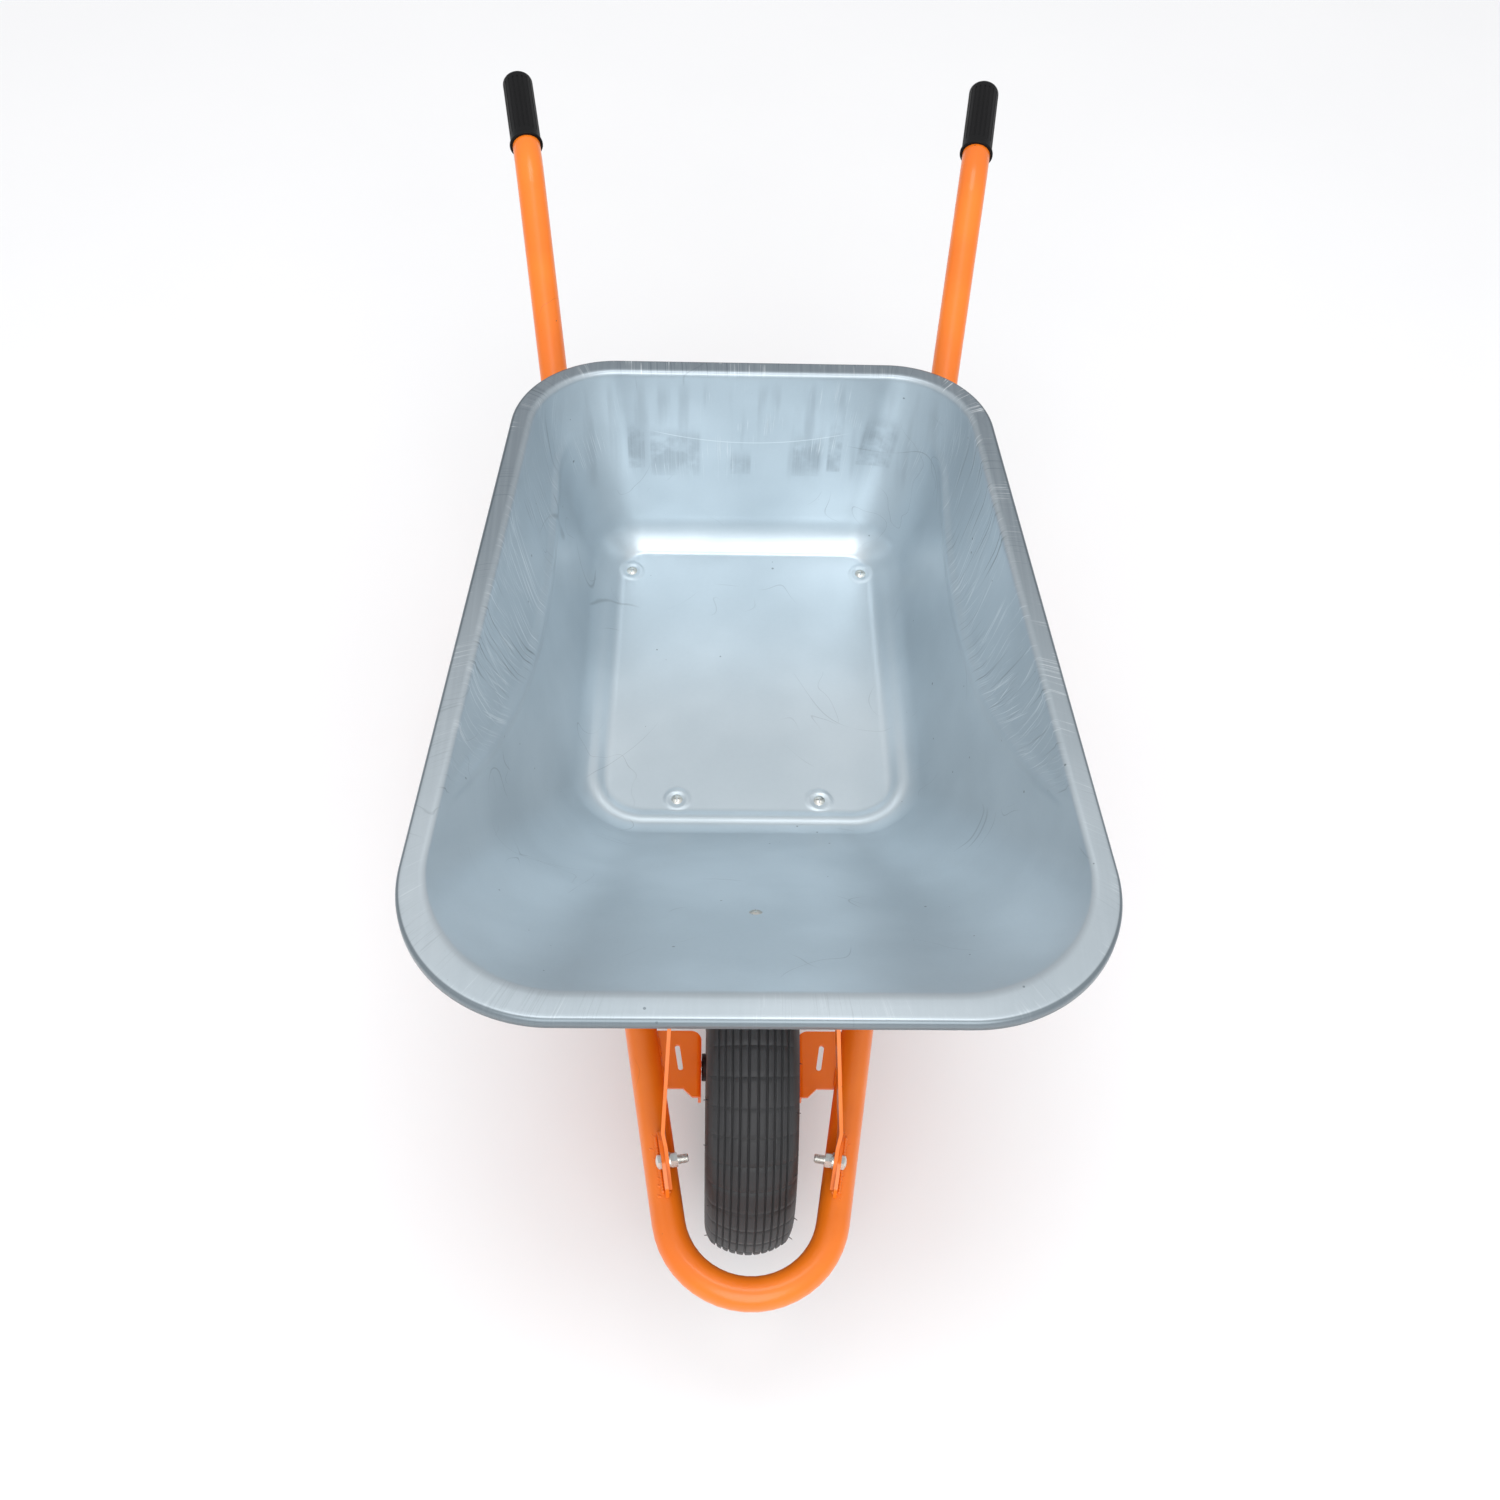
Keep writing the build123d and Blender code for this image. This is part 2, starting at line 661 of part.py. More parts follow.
def wall_angles():
    # how steeply the front, side and rear walls stand from level
    height = (tray_front_z + tray_rear_z) / 2 - floor_z
    front = math.atan2(tray_front_z - floor_z, floor_front_y - tray_front_y - lip_front)
    lip_half = (tray_front_half + tray_rear_half) / 2
    floor_half = (floor_front_half + floor_rear_half) / 2
    side = math.atan2(height, lip_half - floor_half - lip_side)
    rear = math.atan2(tray_rear_z - floor_z, tray_rear_y - lip_side - floor_rear_y)
    return front, side, rear


def floor_outline(grow):
    # outline of the floor; the outer skin's is larger by what the sheet's thickness needs
    front, side, rear = [grow * math.tan(angle / 2) for angle in wall_angles()]
    return rounded_outline(
        floor_front_y - front, floor_rear_y + rear, floor_front_half + side, floor_rear_half + side,
        floor_front_corner + side, floor_rear_corner + side)


def tray_skin(grow):
    # solid between the floor and the mouth; the outer one is grown by the sheet's thickness
    front, side, _ = [grow / math.sin(angle) for angle in wall_angles()]
    mouth = rim_plane() * lip_outline(
        lip_side - side, lip_front - front, mouth_front_corner + side, mouth_rear_corner + side)
    base = Pos(0, 0, floor_z - grow) * floor_outline(grow)
    body = loft([base, mouth], ruled=True)
    bottom = body.faces().sort_by(Axis.Z)[0]
    return fillet(bottom.edges(), floor_edge_radius + grow)


def make_tray():
    outer = tray_skin(tray_t)
    inner = tray_skin(0)
    top = rim_plane()
    cover = extrude(top * lip_outline(0, 0, tray_front_corner, tray_rear_corner), amount=-lip_turn_down)
    under = lip_outline(
        lip_return, lip_return, tray_front_corner - tray_t, tray_rear_corner - tray_t)
    under = extrude(top.offset(-tray_t) * under, amount=-2 * lip_turn_down)
    tray = (outer + (cover - under)) - inner
    for x, y, thread in screw_places():
        tray -= Pos(x, y, floor_z) * Cylinder(thread["d"] / 2 + hole_gap, 6 * tray_t)
    bolt, along, _, reach = strap_axes()
    tray -= rod(bolt + along * (reach - 4 * tray_t), along, 8 * tray_t, slope_screw["d"] / 2 + hole_gap)
    return max(tray.solids(), key=lambda s: s.volume)


def screw_places():
    places = []
    for side in (-1, 1):
        places.append((side * front_screw_half, front_plate_y, m8))
        places.append((side * rear_screw_half, rear_strap_y, m8))
    return places


def floor_fasteners(half, y, under_z):
    screws = []
    rings = []
    nuts = []
    down = (0, 0, -1)
    for side in (-1, 1):
        screws.append(facing((side * half, y, floor_z), down) * pan_screw(m8, floor_screw_length))
        ring_z = under_z - seat_gap
        rings.append(facing((side * half, y, ring_z), down) * washer(m8))
        nut_z = ring_z - m8["washer_t"] - seat_gap
        nuts.append(facing((side * half, y, nut_z), down) * hex_nut(m8))
    return Compound(children=screws), Compound(children=rings), Compound(children=nuts)


def slope_fasteners():
    bolt, along, _, reach = strap_axes()
    down = along * -1
    head = bolt + along * (reach + seat_gap)
    screw = facing(head, down) * pan_screw(slope_screw, slope_screw_length)
    ring_at = bolt + along * (reach - tray_t - 2 * seat_gap - strap_t)
    ring = facing(ring_at, down) * washer(slope_screw)
    nut_at = ring_at + down * (slope_screw["washer_t"] + seat_gap)
    return screw, ring, facing(nut_at, down) * hex_nut(slope_screw)


# ---- grips

def make_grip():
    end, along = grip_tip()
    back = along * -1
    inner = tube_r + press_gap
    outer = tube_r + grip_wall
    body = rod(end, back, grip_length, outer)
    tip = body.edges().filter_by(GeomType.CIRCLE).sort_by_distance(end)[0]
    body = fillet(tip, grip_tip_radius)
    mouth = end + back * (grip_length - grip_flange_length)
    body += fillet(rod(mouth, back, grip_flange_length, grip_flange_d / 2).edges(), grip_flange_round)
    body -= rod(end + back * grip_end_wall, back, grip_length, inner)
    ring = Plane(origin=end, z_dir=back)
    flutes = []
    flute_length = grip_length - flute_start - flute_end_gap
    for i in range(grip_flutes):
        turned = ring * Pos(0, 0, flute_start) * Rot(0, 0, 360 * i / grip_flutes)
        spot = turned * Pos(outer + flute_radius * flute_sink, 0, 0)
        flutes.append(spot * extrude(Circle(flute_radius), amount=flute_length))
    return body - flutes


# ---- wheel

def tyre_half_outline():
    # right half of the tyre's outside, from the middle of the tread round to the bead
    widest = (wheel_radius + bead_radius) / 2
    drop = crown_radius - math.sqrt(crown_radius ** 2 - shoulder_half ** 2)
    shoulder = (shoulder_half, wheel_radius - drop)
    side = (tyre_width / 2, widest)
    bead = (rim_seat_half - rim_t, bead_radius)
    return shoulder, side, bead


def tyre_face(inset_side, inset_crown):
    shoulder, side, bead = tyre_half_outline()
    top = (0, wheel_radius - inset_crown)
    shoulder = (shoulder[0] - inset_side * 0.8, shoulder[1] - inset_crown * 0.8)
    side = (side[0] - inset_side, side[1])
    bead_in = (bead[0] - inset_side, bead_radius)
    mirror_of = [(-x, y) for x, y in (shoulder, side, bead_in)]
    crown = ThreePointArc(mirror_of[0], top, shoulder)
    right = Spline(shoulder, side, bead_in, tangents=((0.45, -0.9), (-0.35, -0.94)))
    left = Spline(mirror_of[2], mirror_of[1], mirror_of[0], tangents=((-0.35, 0.94), (0.45, 0.9)))
    return make_face([crown, right, Line(bead_in, mirror_of[2]), left])


def make_tyre():
    tyre = on_wheel(tyre_face(0, 0) - tyre_face(tyre_side_wall, tyre_crown_wall))
    for place in groove_places:
        for side in (-1, 1):
            x = side * place
            r = wheel_radius - crown_radius + math.sqrt(crown_radius ** 2 - x ** 2)
            tilt = math.degrees(math.asin(x / crown_radius))
            groove = Pos(x, r) * Rot(0, 0, -tilt) * Rectangle(groove_width, 2 * groove_depth)
            tyre -= on_wheel(groove)
    return tyre


def make_inner_tube():
    middle = (wheel_radius - tyre_crown_wall + rim_well_radius) / 2 + tube_rise
    across = tyre_width / 2 - tyre_side_wall - tube_room
    outer = min(across, wheel_radius - tyre_crown_wall - middle - tube_crown_room)
    ring = Pos(0, middle) * (Circle(outer) - Circle(outer - tube_skin))
    return on_wheel(ring)


def rim_half_points():
    inner_r = hub_d / 2 + seat_gap
    flat = rim_t / 2 + seat_gap / 2
    return [
        (flat, inner_r), (flat, rim_well_radius - 10), (9, rim_well_radius), (19, rim_well_radius + 3),
        (24, bead_radius - 6), (rim_seat_half, bead_radius - 4.5),
        (rim_seat_half + 2.5, rim_flange_radius - 5), (rim_seat_half + 5.5, rim_flange_radius)]


def rim_bolt_places():
    places = []
    for i in range(rim_bolt_count):
        turn = math.radians(45 + 360 * i / rim_bolt_count)
        places.append((rim_bolt_radius * math.cos(turn), axle_z + rim_bolt_radius * math.sin(turn)))
    return places


def make_rim_half():
    half = on_wheel(sheet_outline(rim_half_points(), rim_t))
    for y, z in rim_bolt_places():
        half -= rod((-2, y, z), (1, 0, 0), 8, m6["d"] / 2 + hole_gap)
    return half


def rim_fasteners():
    bolts = []
    nuts = []
    outside = rim_t + seat_gap
    for y, z in rim_bolt_places():
        bolts.append(facing((outside, y, z), (-1, 0, 0)) * hex_bolt(m6, rim_bolt_length))
        nuts.append(facing((-outside, y, z), (-1, 0, 0)) * hex_nut(m6))
    return Compound(children=bolts), Compound(children=nuts)


def make_hub():
    hub = ring_on_wheel(-hub_half, hub_half, hub_bore_d / 2, hub_d / 2)
    for low in (-hub_half, hub_half - bearing_width):
        hub -= ring_on_wheel(low, low + bearing_width, 0.1, bearing_od / 2 + press_gap)
    return hub


def ball_track():
    pitch = (bearing_od + bearing_id) / 4
    return on_wheel(Pos(hub_half - bearing_width / 2, pitch) * Circle(ball_d / 2 + running_gap))


def make_outer_ring():
    pitch = (bearing_od + bearing_id) / 4
    ring = ring_on_wheel(hub_half - bearing_width, hub_half, pitch + ball_d * 0.3, bearing_od / 2)
    return ring - ball_track()


def make_inner_ring():
    pitch = (bearing_od + bearing_id) / 4
    ring = ring_on_wheel(hub_half - bearing_width, hub_half, bearing_id / 2, pitch - ball_d * 0.3)
    return ring - ball_track()


def make_balls():
    pitch = (bearing_od + bearing_id) / 4
    x = hub_half - bearing_width / 2
    balls = []
    for i in range(ball_count):
        turn = 2 * math.pi * i / ball_count
        place = (x, pitch * math.cos(turn), axle_z + pitch * math.sin(turn))
        balls.append(Pos(*place) * Sphere(ball_d / 2))
    return Compound(children=balls)


def make_sleeve():
    half = flange_gap / 2 - seat_gap
    return ring_on_wheel(-half, half, m12["d"] / 2 + hole_gap, bearing_id / 2 - press_gap)


def make_dust_cap():
    bore = bearing_id / 2 + side_gap
    base = hub_half + seat_gap
    cap = ring_on_wheel(base, base + cap_flange_t, bore, cap_flange_d / 2)
    cap += ring_on_wheel(base, flange_gap / 2 - side_gap, bore, cap_d / 2)
    rim = cap.edges().filter_by(GeomType.CIRCLE).sort_by(Axis.X)[-2:]
    return fillet(max(rim, key=lambda e: e.radius), 1)


def axle_fasteners():
    outside = flange_gap / 2 + bracket_t + seat_gap
    head = outside + m12["washer_t"] + seat_gap
    bolt = facing((head, 0, axle_z), (-1, 0, 0)) * hex_bolt(m12, 2 * head + m12["nut"] + axle_bolt_spare)
    ring = facing((outside, 0, axle_z), (1, 0, 0)) * washer(m12)
    nut = facing((-head, 0, axle_z), (-1, 0, 0)) * hex_nut(m12)
    return bolt, nut, both_sides([ring])


def valve_rod(top, length, radius):
    # a rod that points from a distance above the axle down towards the hub
    return rod((valve_x, 0, axle_z + top), (0, 0, -1), length, radius)


def make_valve_stem():
    top = rim_well_radius + valve_root
    stem = valve_rod(top, valve_length, valve_d / 2)
    return stem + valve_rod(top - valve_length, valve_thread_length, valve_d / 2 - valve_step)


def make_valve_cap():
    top = rim_well_radius + valve_root - valve_length - seat_gap
    bore_length = valve_cap_length - valve_cap_end
    cap = valve_rod(top, valve_cap_length, valve_d / 2 - valve_cap_inset)
    return cap - valve_rod(top, bore_length, valve_d / 2 - valve_step + press_gap)


def valve_hole():
    top = rim_well_radius + valve_root
    return valve_rod(top + seat_gap, valve_length + seat_gap, valve_d / 2 + hole_gap)


# ---- write every piece, moved so that the origin is under the middle of the barrow

def save(name, part):
    export_step(Pos(0, -middle_y, 0) * part, "parts/" + name + ".step")
    print("wrote", name)


def save_pair(name, right):
    save(name + "_right", right)
    save(name + "_left", mirrored(right))


def main():
    os.makedirs("parts", exist_ok=True)
    save("frame_tube", swept_tube(frame_path(), tube_r, tube_wall))
    save("tray", make_tray())
    save("front_cross_plate", make_front_plate())
    save("rear_cross_strap", make_rear_strap())
    save("leg_brace", cross_strap(brace_y(), brace_width, brace_z))
    save_pair("leg", make_leg())
    save_pair("foot_plate", make_foot_plate())
    bolts, nuts, rings = leg_fasteners()
    save("leg_bolts", bolts)
    save("leg_nuts", nuts)
    save("leg_washers", rings)
    save_pair("axle_bracket", make_bracket())
    save_pair("strut_tab", make_tab())
    save("front_strap", make_front_strap())
    bolts, nuts, rings = strap_fasteners()
    save("strap_bolts", bolts)
    save("strap_nuts", nuts)
    save("strap_washers", rings)
    front_under = tray_bottom_z - seat_gap - plate_t
    screws, rings, nuts = floor_fasteners(front_screw_half, front_plate_y, front_under)
    save("floor_screws_front", screws)
    save("floor_washers_front", rings)
    save("floor_nuts_front", nuts)
    screws, rings, nuts = floor_fasteners(rear_screw_half, rear_strap_y, front_under)
    save("floor_screws_rear", screws)
    save("floor_washers_rear", rings)
    save("floor_nuts_rear", nuts)
    screw, ring, nut = slope_fasteners()
    save("slope_screw", screw)
    save("slope_washer", ring)
    save("slope_nut", nut)
    save_pair("grip", make_grip())
    bolt, nut, rings = axle_fasteners()
    save("axle_bolt", bolt)
    save("axle_nut", nut)
    save("axle_washers", rings)
    save("axle_sleeve", make_sleeve())
    save_pair("bearing_inner_ring", make_inner_ring())
    save_pair("bearing_outer_ring", make_outer_ring())
    save_pair("bearing_balls", make_balls())
    save_pair("dust_cap", make_dust_cap())
    save("hub_tube", make_hub())
    rim = make_rim_half()
    save("rim_half_right", rim - valve_hole())
    save("rim_half_left", mirrored(rim))
    bolts, nuts = rim_fasteners()
    save("rim_bolts", bolts)
    save("rim_nuts", nuts)
    save("tyre", make_tyre())
    save("inner_tube", make_inner_tube())
    save("valve_stem", make_valve_stem())
    save("valve_cap", make_valve_cap())


main()
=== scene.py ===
import math
import random

import bpy
import numpy as np
from mathutils import Matrix, Vector


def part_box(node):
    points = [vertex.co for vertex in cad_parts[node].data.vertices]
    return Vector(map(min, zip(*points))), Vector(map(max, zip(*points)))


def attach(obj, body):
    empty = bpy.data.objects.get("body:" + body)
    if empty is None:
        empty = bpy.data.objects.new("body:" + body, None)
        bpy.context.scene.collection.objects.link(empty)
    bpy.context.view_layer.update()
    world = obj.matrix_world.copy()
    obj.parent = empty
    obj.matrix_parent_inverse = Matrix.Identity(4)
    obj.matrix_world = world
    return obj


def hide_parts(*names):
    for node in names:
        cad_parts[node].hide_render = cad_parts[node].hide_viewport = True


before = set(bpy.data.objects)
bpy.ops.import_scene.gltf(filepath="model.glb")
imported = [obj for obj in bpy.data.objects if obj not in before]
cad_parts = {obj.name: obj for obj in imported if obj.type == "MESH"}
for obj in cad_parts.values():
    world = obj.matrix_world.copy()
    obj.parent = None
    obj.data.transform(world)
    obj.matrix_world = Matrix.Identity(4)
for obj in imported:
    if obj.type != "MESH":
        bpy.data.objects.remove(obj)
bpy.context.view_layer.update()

print("frame loaded:", len(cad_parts), "nodes")

degree = math.pi / 180


def addNode(tree, kind, **settings):
    node = tree.nodes.new(kind)
    for name, value in settings.items():
        setattr(node, name, value)
    return node


def setInput(tree, node, key, value):
    socket = node.inputs[key]
    if isinstance(value, bpy.types.NodeSocket):
        tree.links.new(value, socket)
    else:
        socket.default_value = value


def mathNode(tree, operation, first, second=None, third=None, clamp=False):
    node = addNode(tree, "ShaderNodeMath", operation=operation, use_clamp=clamp)
    for index, value in enumerate((first, second, third)):
        if value is not None:
            setInput(tree, node, index, value)
    return node.outputs[0]


def times(tree, first, second, clamp=False):
    return mathNode(tree, "MULTIPLY", first, second, clamp=clamp)


def timesPlus(tree, first, second, third):
    return mathNode(tree, "MULTIPLY_ADD", first, second, third)


def minus(tree, first, second):
    return mathNode(tree, "SUBTRACT", first, second)


def larger(tree, first, second):
    return mathNode(tree, "MAXIMUM", first, second)


def noiseValue(tree, vector, scale, detail=3.0, roughness=0.5, distortion=0.0):
    node = addNode(tree, "ShaderNodeTexNoise")
    setInput(tree, node, "Vector", vector)
    setInput(tree, node, "Scale", scale)
    setInput(tree, node, "Detail", detail)
    setInput(tree, node, "Roughness", roughness)
    setInput(tree, node, "Distortion", distortion)
    return node.outputs["Fac"]


def rampValue(tree, value, low, high):
    node = addNode(tree, "ShaderNodeMapRange", interpolation_type="SMOOTHSTEP")
    setInput(tree, node, "Value", value)
    setInput(tree, node, "From Min", low)
    setInput(tree, node, "From Max", high)
    return node.outputs["Result"]


def stretched(tree, vector, scale, turn=(0.0, 0.0, 0.0)):
    node = addNode(tree, "ShaderNodeMapping", vector_type="POINT")
    setInput(tree, node, "Vector", vector)
    setInput(tree, node, "Rotation", turn)
    setInput(tree, node, "Scale", scale)
    return node.outputs["Vector"]


def mixColour(tree, amount, first, second):
    node = addNode(tree, "ShaderNodeMix", data_type="RGBA")
    setInput(tree, node, 0, amount)
    setInput(tree, node, 6, first)
    setInput(tree, node, 7, second)
    return node.outputs[2]


def splitVector(tree, vector):
    node = addNode(tree, "ShaderNodeSeparateXYZ")
    setInput(tree, node, 0, vector)
    return node.outputs


def newGroup(name, inputs, outputs):
    group = bpy.data.node_groups.new(name, "ShaderNodeTree")
    for label, kind, start in inputs:
        socket = group.interface.new_socket(label, in_out="INPUT", socket_type=kind)
        if start is not None:
            socket.default_value = start
    for label, kind in outputs:
        group.interface.new_socket(label, in_out="OUTPUT", socket_type=kind)
    return group, addNode(group, "NodeGroupInput"), addNode(group, "NodeGroupOutput")


def useGroup(tree, group, **values):
    node = addNode(tree, "ShaderNodeGroup", node_tree=group)
    for name, value in values.items():
        setInput(tree, node, name, value)
    return node.outputs


number, vectorKind = "NodeSocketFloat", "NodeSocketVector"


scratchLook = {
    "lines": (1.0, 2.0, 0.6), "patchDetail": 2.0,    # noise: scale, detail, roughness
    "thin": (0.56, 0.68), "cover": (-0.3, 0.78), "sharp": 9.0}


def makeScratchGroup():
    # short straight scratches along the second axis of the map, in patches
    group, given, out = newGroup(
        "scratchLines",
        [("Map", vectorKind, None), ("Fine", number, 700.0), ("Long", number, 14.0),
         ("Turn", number, 0.0), ("Cover", number, 0.5), ("Patch", number, 9.0)],
        [("Mask", number)])
    get = given.outputs
    turn = addNode(group, "ShaderNodeCombineXYZ")
    setInput(group, turn, "Z", get["Turn"])
    turned = stretched(group, get["Map"], (1.0, 1.0, 1.0), turn.outputs[0])
    size = addNode(group, "ShaderNodeCombineXYZ")
    for axis, length in (("X", "Fine"), ("Y", "Long"), ("Z", "Long")):
        setInput(group, size, axis, get[length])
    lines = noiseValue(group, stretched(group, turned, size.outputs[0]), *scratchLook["lines"])
    patches = noiseValue(group, get["Map"], get["Patch"], scratchLook["patchDetail"])
    edge = timesPlus(group, get["Cover"], *scratchLook["cover"])
    thin = rampValue(group, lines, *scratchLook["thin"])
    where = times(group, minus(group, patches, edge), scratchLook["sharp"], clamp=True)
    setInput(group, out, "Mask", times(group, thin, where, clamp=True))
    return group


hairLook = {
    "slow": (1.0, 0.4, 0.6),      # detail, roughness, distortion
    "broken": (11.0, 2.0),        # scale, detail
    "cover": (-0.3, 0.72), "sharp": 12.0}


def makeHairlineGroup():
    # long curved hairlines: thin level lines of a slow noise, broken up by a second one
    group, given, out = newGroup(
        "hairlines",
        [("Map", vectorKind, None), ("Size", number, 4.0), ("Width", number, 0.004),
         ("Cover", number, 0.5)],
        [("Mask", number)])
    get = given.outputs
    slow = noiseValue(group, get["Map"], get["Size"], *hairLook["slow"])
    distance = mathNode(group, "ABSOLUTE", minus(group, slow, 0.5))
    line = minus(group, 1.0, rampValue(group, distance, 0.0, get["Width"]))
    broken = noiseValue(group, get["Map"], *hairLook["broken"])
    edge = timesPlus(group, get["Cover"], *hairLook["cover"])
    where = times(group, minus(group, broken, edge), hairLook["sharp"], clamp=True)
    setInput(group, out, "Mask", times(group, line, where, clamp=True))
    return group


def makeSpeckGroup():
    # scattered specks of differing size
    group, given, out = newGroup(
        "specks",
        [("Map", vectorKind, None), ("Size", number, 90.0), ("Reach", number, 0.12),
         ("Cover", number, 0.2)],
        [("Mask", number)])
    get = given.outputs
    cells = addNode(group, "ShaderNodeTexVoronoi", feature="F1")
    setInput(group, cells, "Vector", get["Map"])
    setInput(group, cells, "Scale", get["Size"])
    split = addNode(group, "ShaderNodeSeparateColor")
    setInput(group, split, 0, cells.outputs["Color"])
    reach = times(group, split.outputs[1], get["Reach"])
    inside = mathNode(group, "LESS_THAN", cells.outputs["Distance"], reach)
    chosen = mathNode(group, "LESS_THAN", split.outputs[0], get["Cover"])
    setInput(group, out, "Mask", times(group, inside, chosen))
    return group


mottleLook = {"cloudDetail": 3.0, "cloudEdges": (0.3, 0.7), "grain": (4.0, 0.65)}


def makeMottleGroup():
    # cloudy change of tone with a finer grain over it
    group, given, out = newGroup(
        "mottle",
        [("Map", vectorKind, None), ("Cloud", number, 5.0), ("Grain", number, 120.0),
         ("Share", number, 0.3)],
        [("Tone", number), ("Grain", number)])
    get = given.outputs
    cloud = noiseValue(group, get["Map"], get["Cloud"], mottleLook["cloudDetail"])
    grain = noiseValue(group, get["Map"], get["Grain"], *mottleLook["grain"])
    mixed = addNode(group, "ShaderNodeMix", data_type="FLOAT")
    setInput(group, mixed, 0, get["Share"])
    setInput(group, mixed, 2, rampValue(group, cloud, *mottleLook["cloudEdges"]))
    setInput(group, mixed, 3, grain)
    setInput(group, out, "Tone", mixed.outputs[0])
    setInput(group, out, "Grain", grain)
    return group


dustLook = {"ragged": (28.0, 5.0, 0.7), "edges": (0.3, 0.75)}    # scale, detail, roughness


def makeDustGroup():
    # dust that lies thicker low down, with a ragged upper edge
    group, given, out = newGroup(
        "dustFilm",
        [("Map", vectorKind, None), ("Top", number, 0.1), ("Fade", number, 0.1),
         ("Amount", number, 0.5)],
        [("Mask", number)])
    get = given.outputs
    low = minus(group, get["Top"], splitVector(group, get["Map"])["Z"])
    low = mathNode(group, "DIVIDE", low, get["Fade"], clamp=True)
    ragged = noiseValue(group, get["Map"], *dustLook["ragged"])
    patchy = times(group, rampValue(group, ragged, *dustLook["edges"]), low)
    setInput(group, out, "Mask", times(group, patchy, get["Amount"], clamp=True))
    return group


smudgeLook = {
    "sides": (0.86, 1.1), "lowEnd": (-0.001, 0.002), "highEnd": (-0.006, 0.03),    # soft edges
    "streaks": (420.0, 1.0, 1.0), "streakEdges": (0.25, 0.75), "streaky": 0.6,
    "cloud": (38.0, 3.0, 0.6), "cloudEdges": (0.25, 0.60)}


def makeSmudgeGroup():
    # a rubbed patch with soft ends, made of streaks that run up the sheet
    group, given, out = newGroup(
        "rubbedPatch",
        [("Map", vectorKind, None), ("Middle", number, 0.0), ("Half", number, 0.02),
         ("Low", number, 0.35), ("High", number, 0.42), ("Slant", number, 0.0)],
        [("Mask", number)])
    get = given.outputs
    axes = splitVector(group, get["Map"])
    aboveLow = minus(group, axes["Z"], get["Low"])
    shift = times(group, aboveLow, get["Slant"])
    across = minus(group, minus(group, axes["X"], shift), get["Middle"])
    inside = mathNode(group, "DIVIDE", mathNode(group, "ABSOLUTE", across), get["Half"])
    inside = minus(group, 1.0, rampValue(group, inside, *smudgeLook["sides"]))
    above = rampValue(group, aboveLow, *smudgeLook["lowEnd"])
    below = rampValue(group, minus(group, get["High"], axes["Z"]), *smudgeLook["highEnd"])
    lines = addNode(group, "ShaderNodeCombineXYZ")
    setInput(group, lines, "X", across)
    streaks = stretched(group, lines.outputs[0], smudgeLook["streaks"])
    streaks = noiseValue(group, streaks, 1.0, 3.0, 0.7)
    streaks = rampValue(group, streaks, *smudgeLook["streakEdges"])
    streaks = timesPlus(group, streaks, smudgeLook["streaky"], 1 - smudgeLook["streaky"])
    cloudy = noiseValue(group, get["Map"], *smudgeLook["cloud"])
    streaks = times(group, streaks, rampValue(group, cloudy, *smudgeLook["cloudEdges"]))
    patch = times(group, inside, times(group, above, below))
    setInput(group, out, "Mask", times(group, patch, streaks, clamp=True))
    return group


effects = {
    "smudge": makeSmudgeGroup(), "scratch": makeScratchGroup(), "hairline": makeHairlineGroup(),
    "speck": makeSpeckGroup(), "mottle": makeMottleGroup(), "dust": makeDustGroup()}
print("effects made")


def newFinish(name):
    material = bpy.data.materials.new(name)
    material.use_nodes = True
    tree = material.node_tree
    shader = tree.nodes["Principled BSDF"]
    place = addNode(tree, "ShaderNodeTexCoord").outputs["Object"]
    return material, tree, shader, place


def bumpFrom(tree, height, strength, distance, shader):
    bump = addNode(tree, "ShaderNodeBump")
    setInput(tree, bump, "Height", height)
    setInput(tree, bump, "Strength", strength)
    setInput(tree, bump, "Distance", distance)
    setInput(tree, shader, "Normal", bump.outputs["Normal"])


def attributeVector(tree, name):
    return addNode(tree, "ShaderNodeAttribute", attribute_name=name).outputs["Vector"]


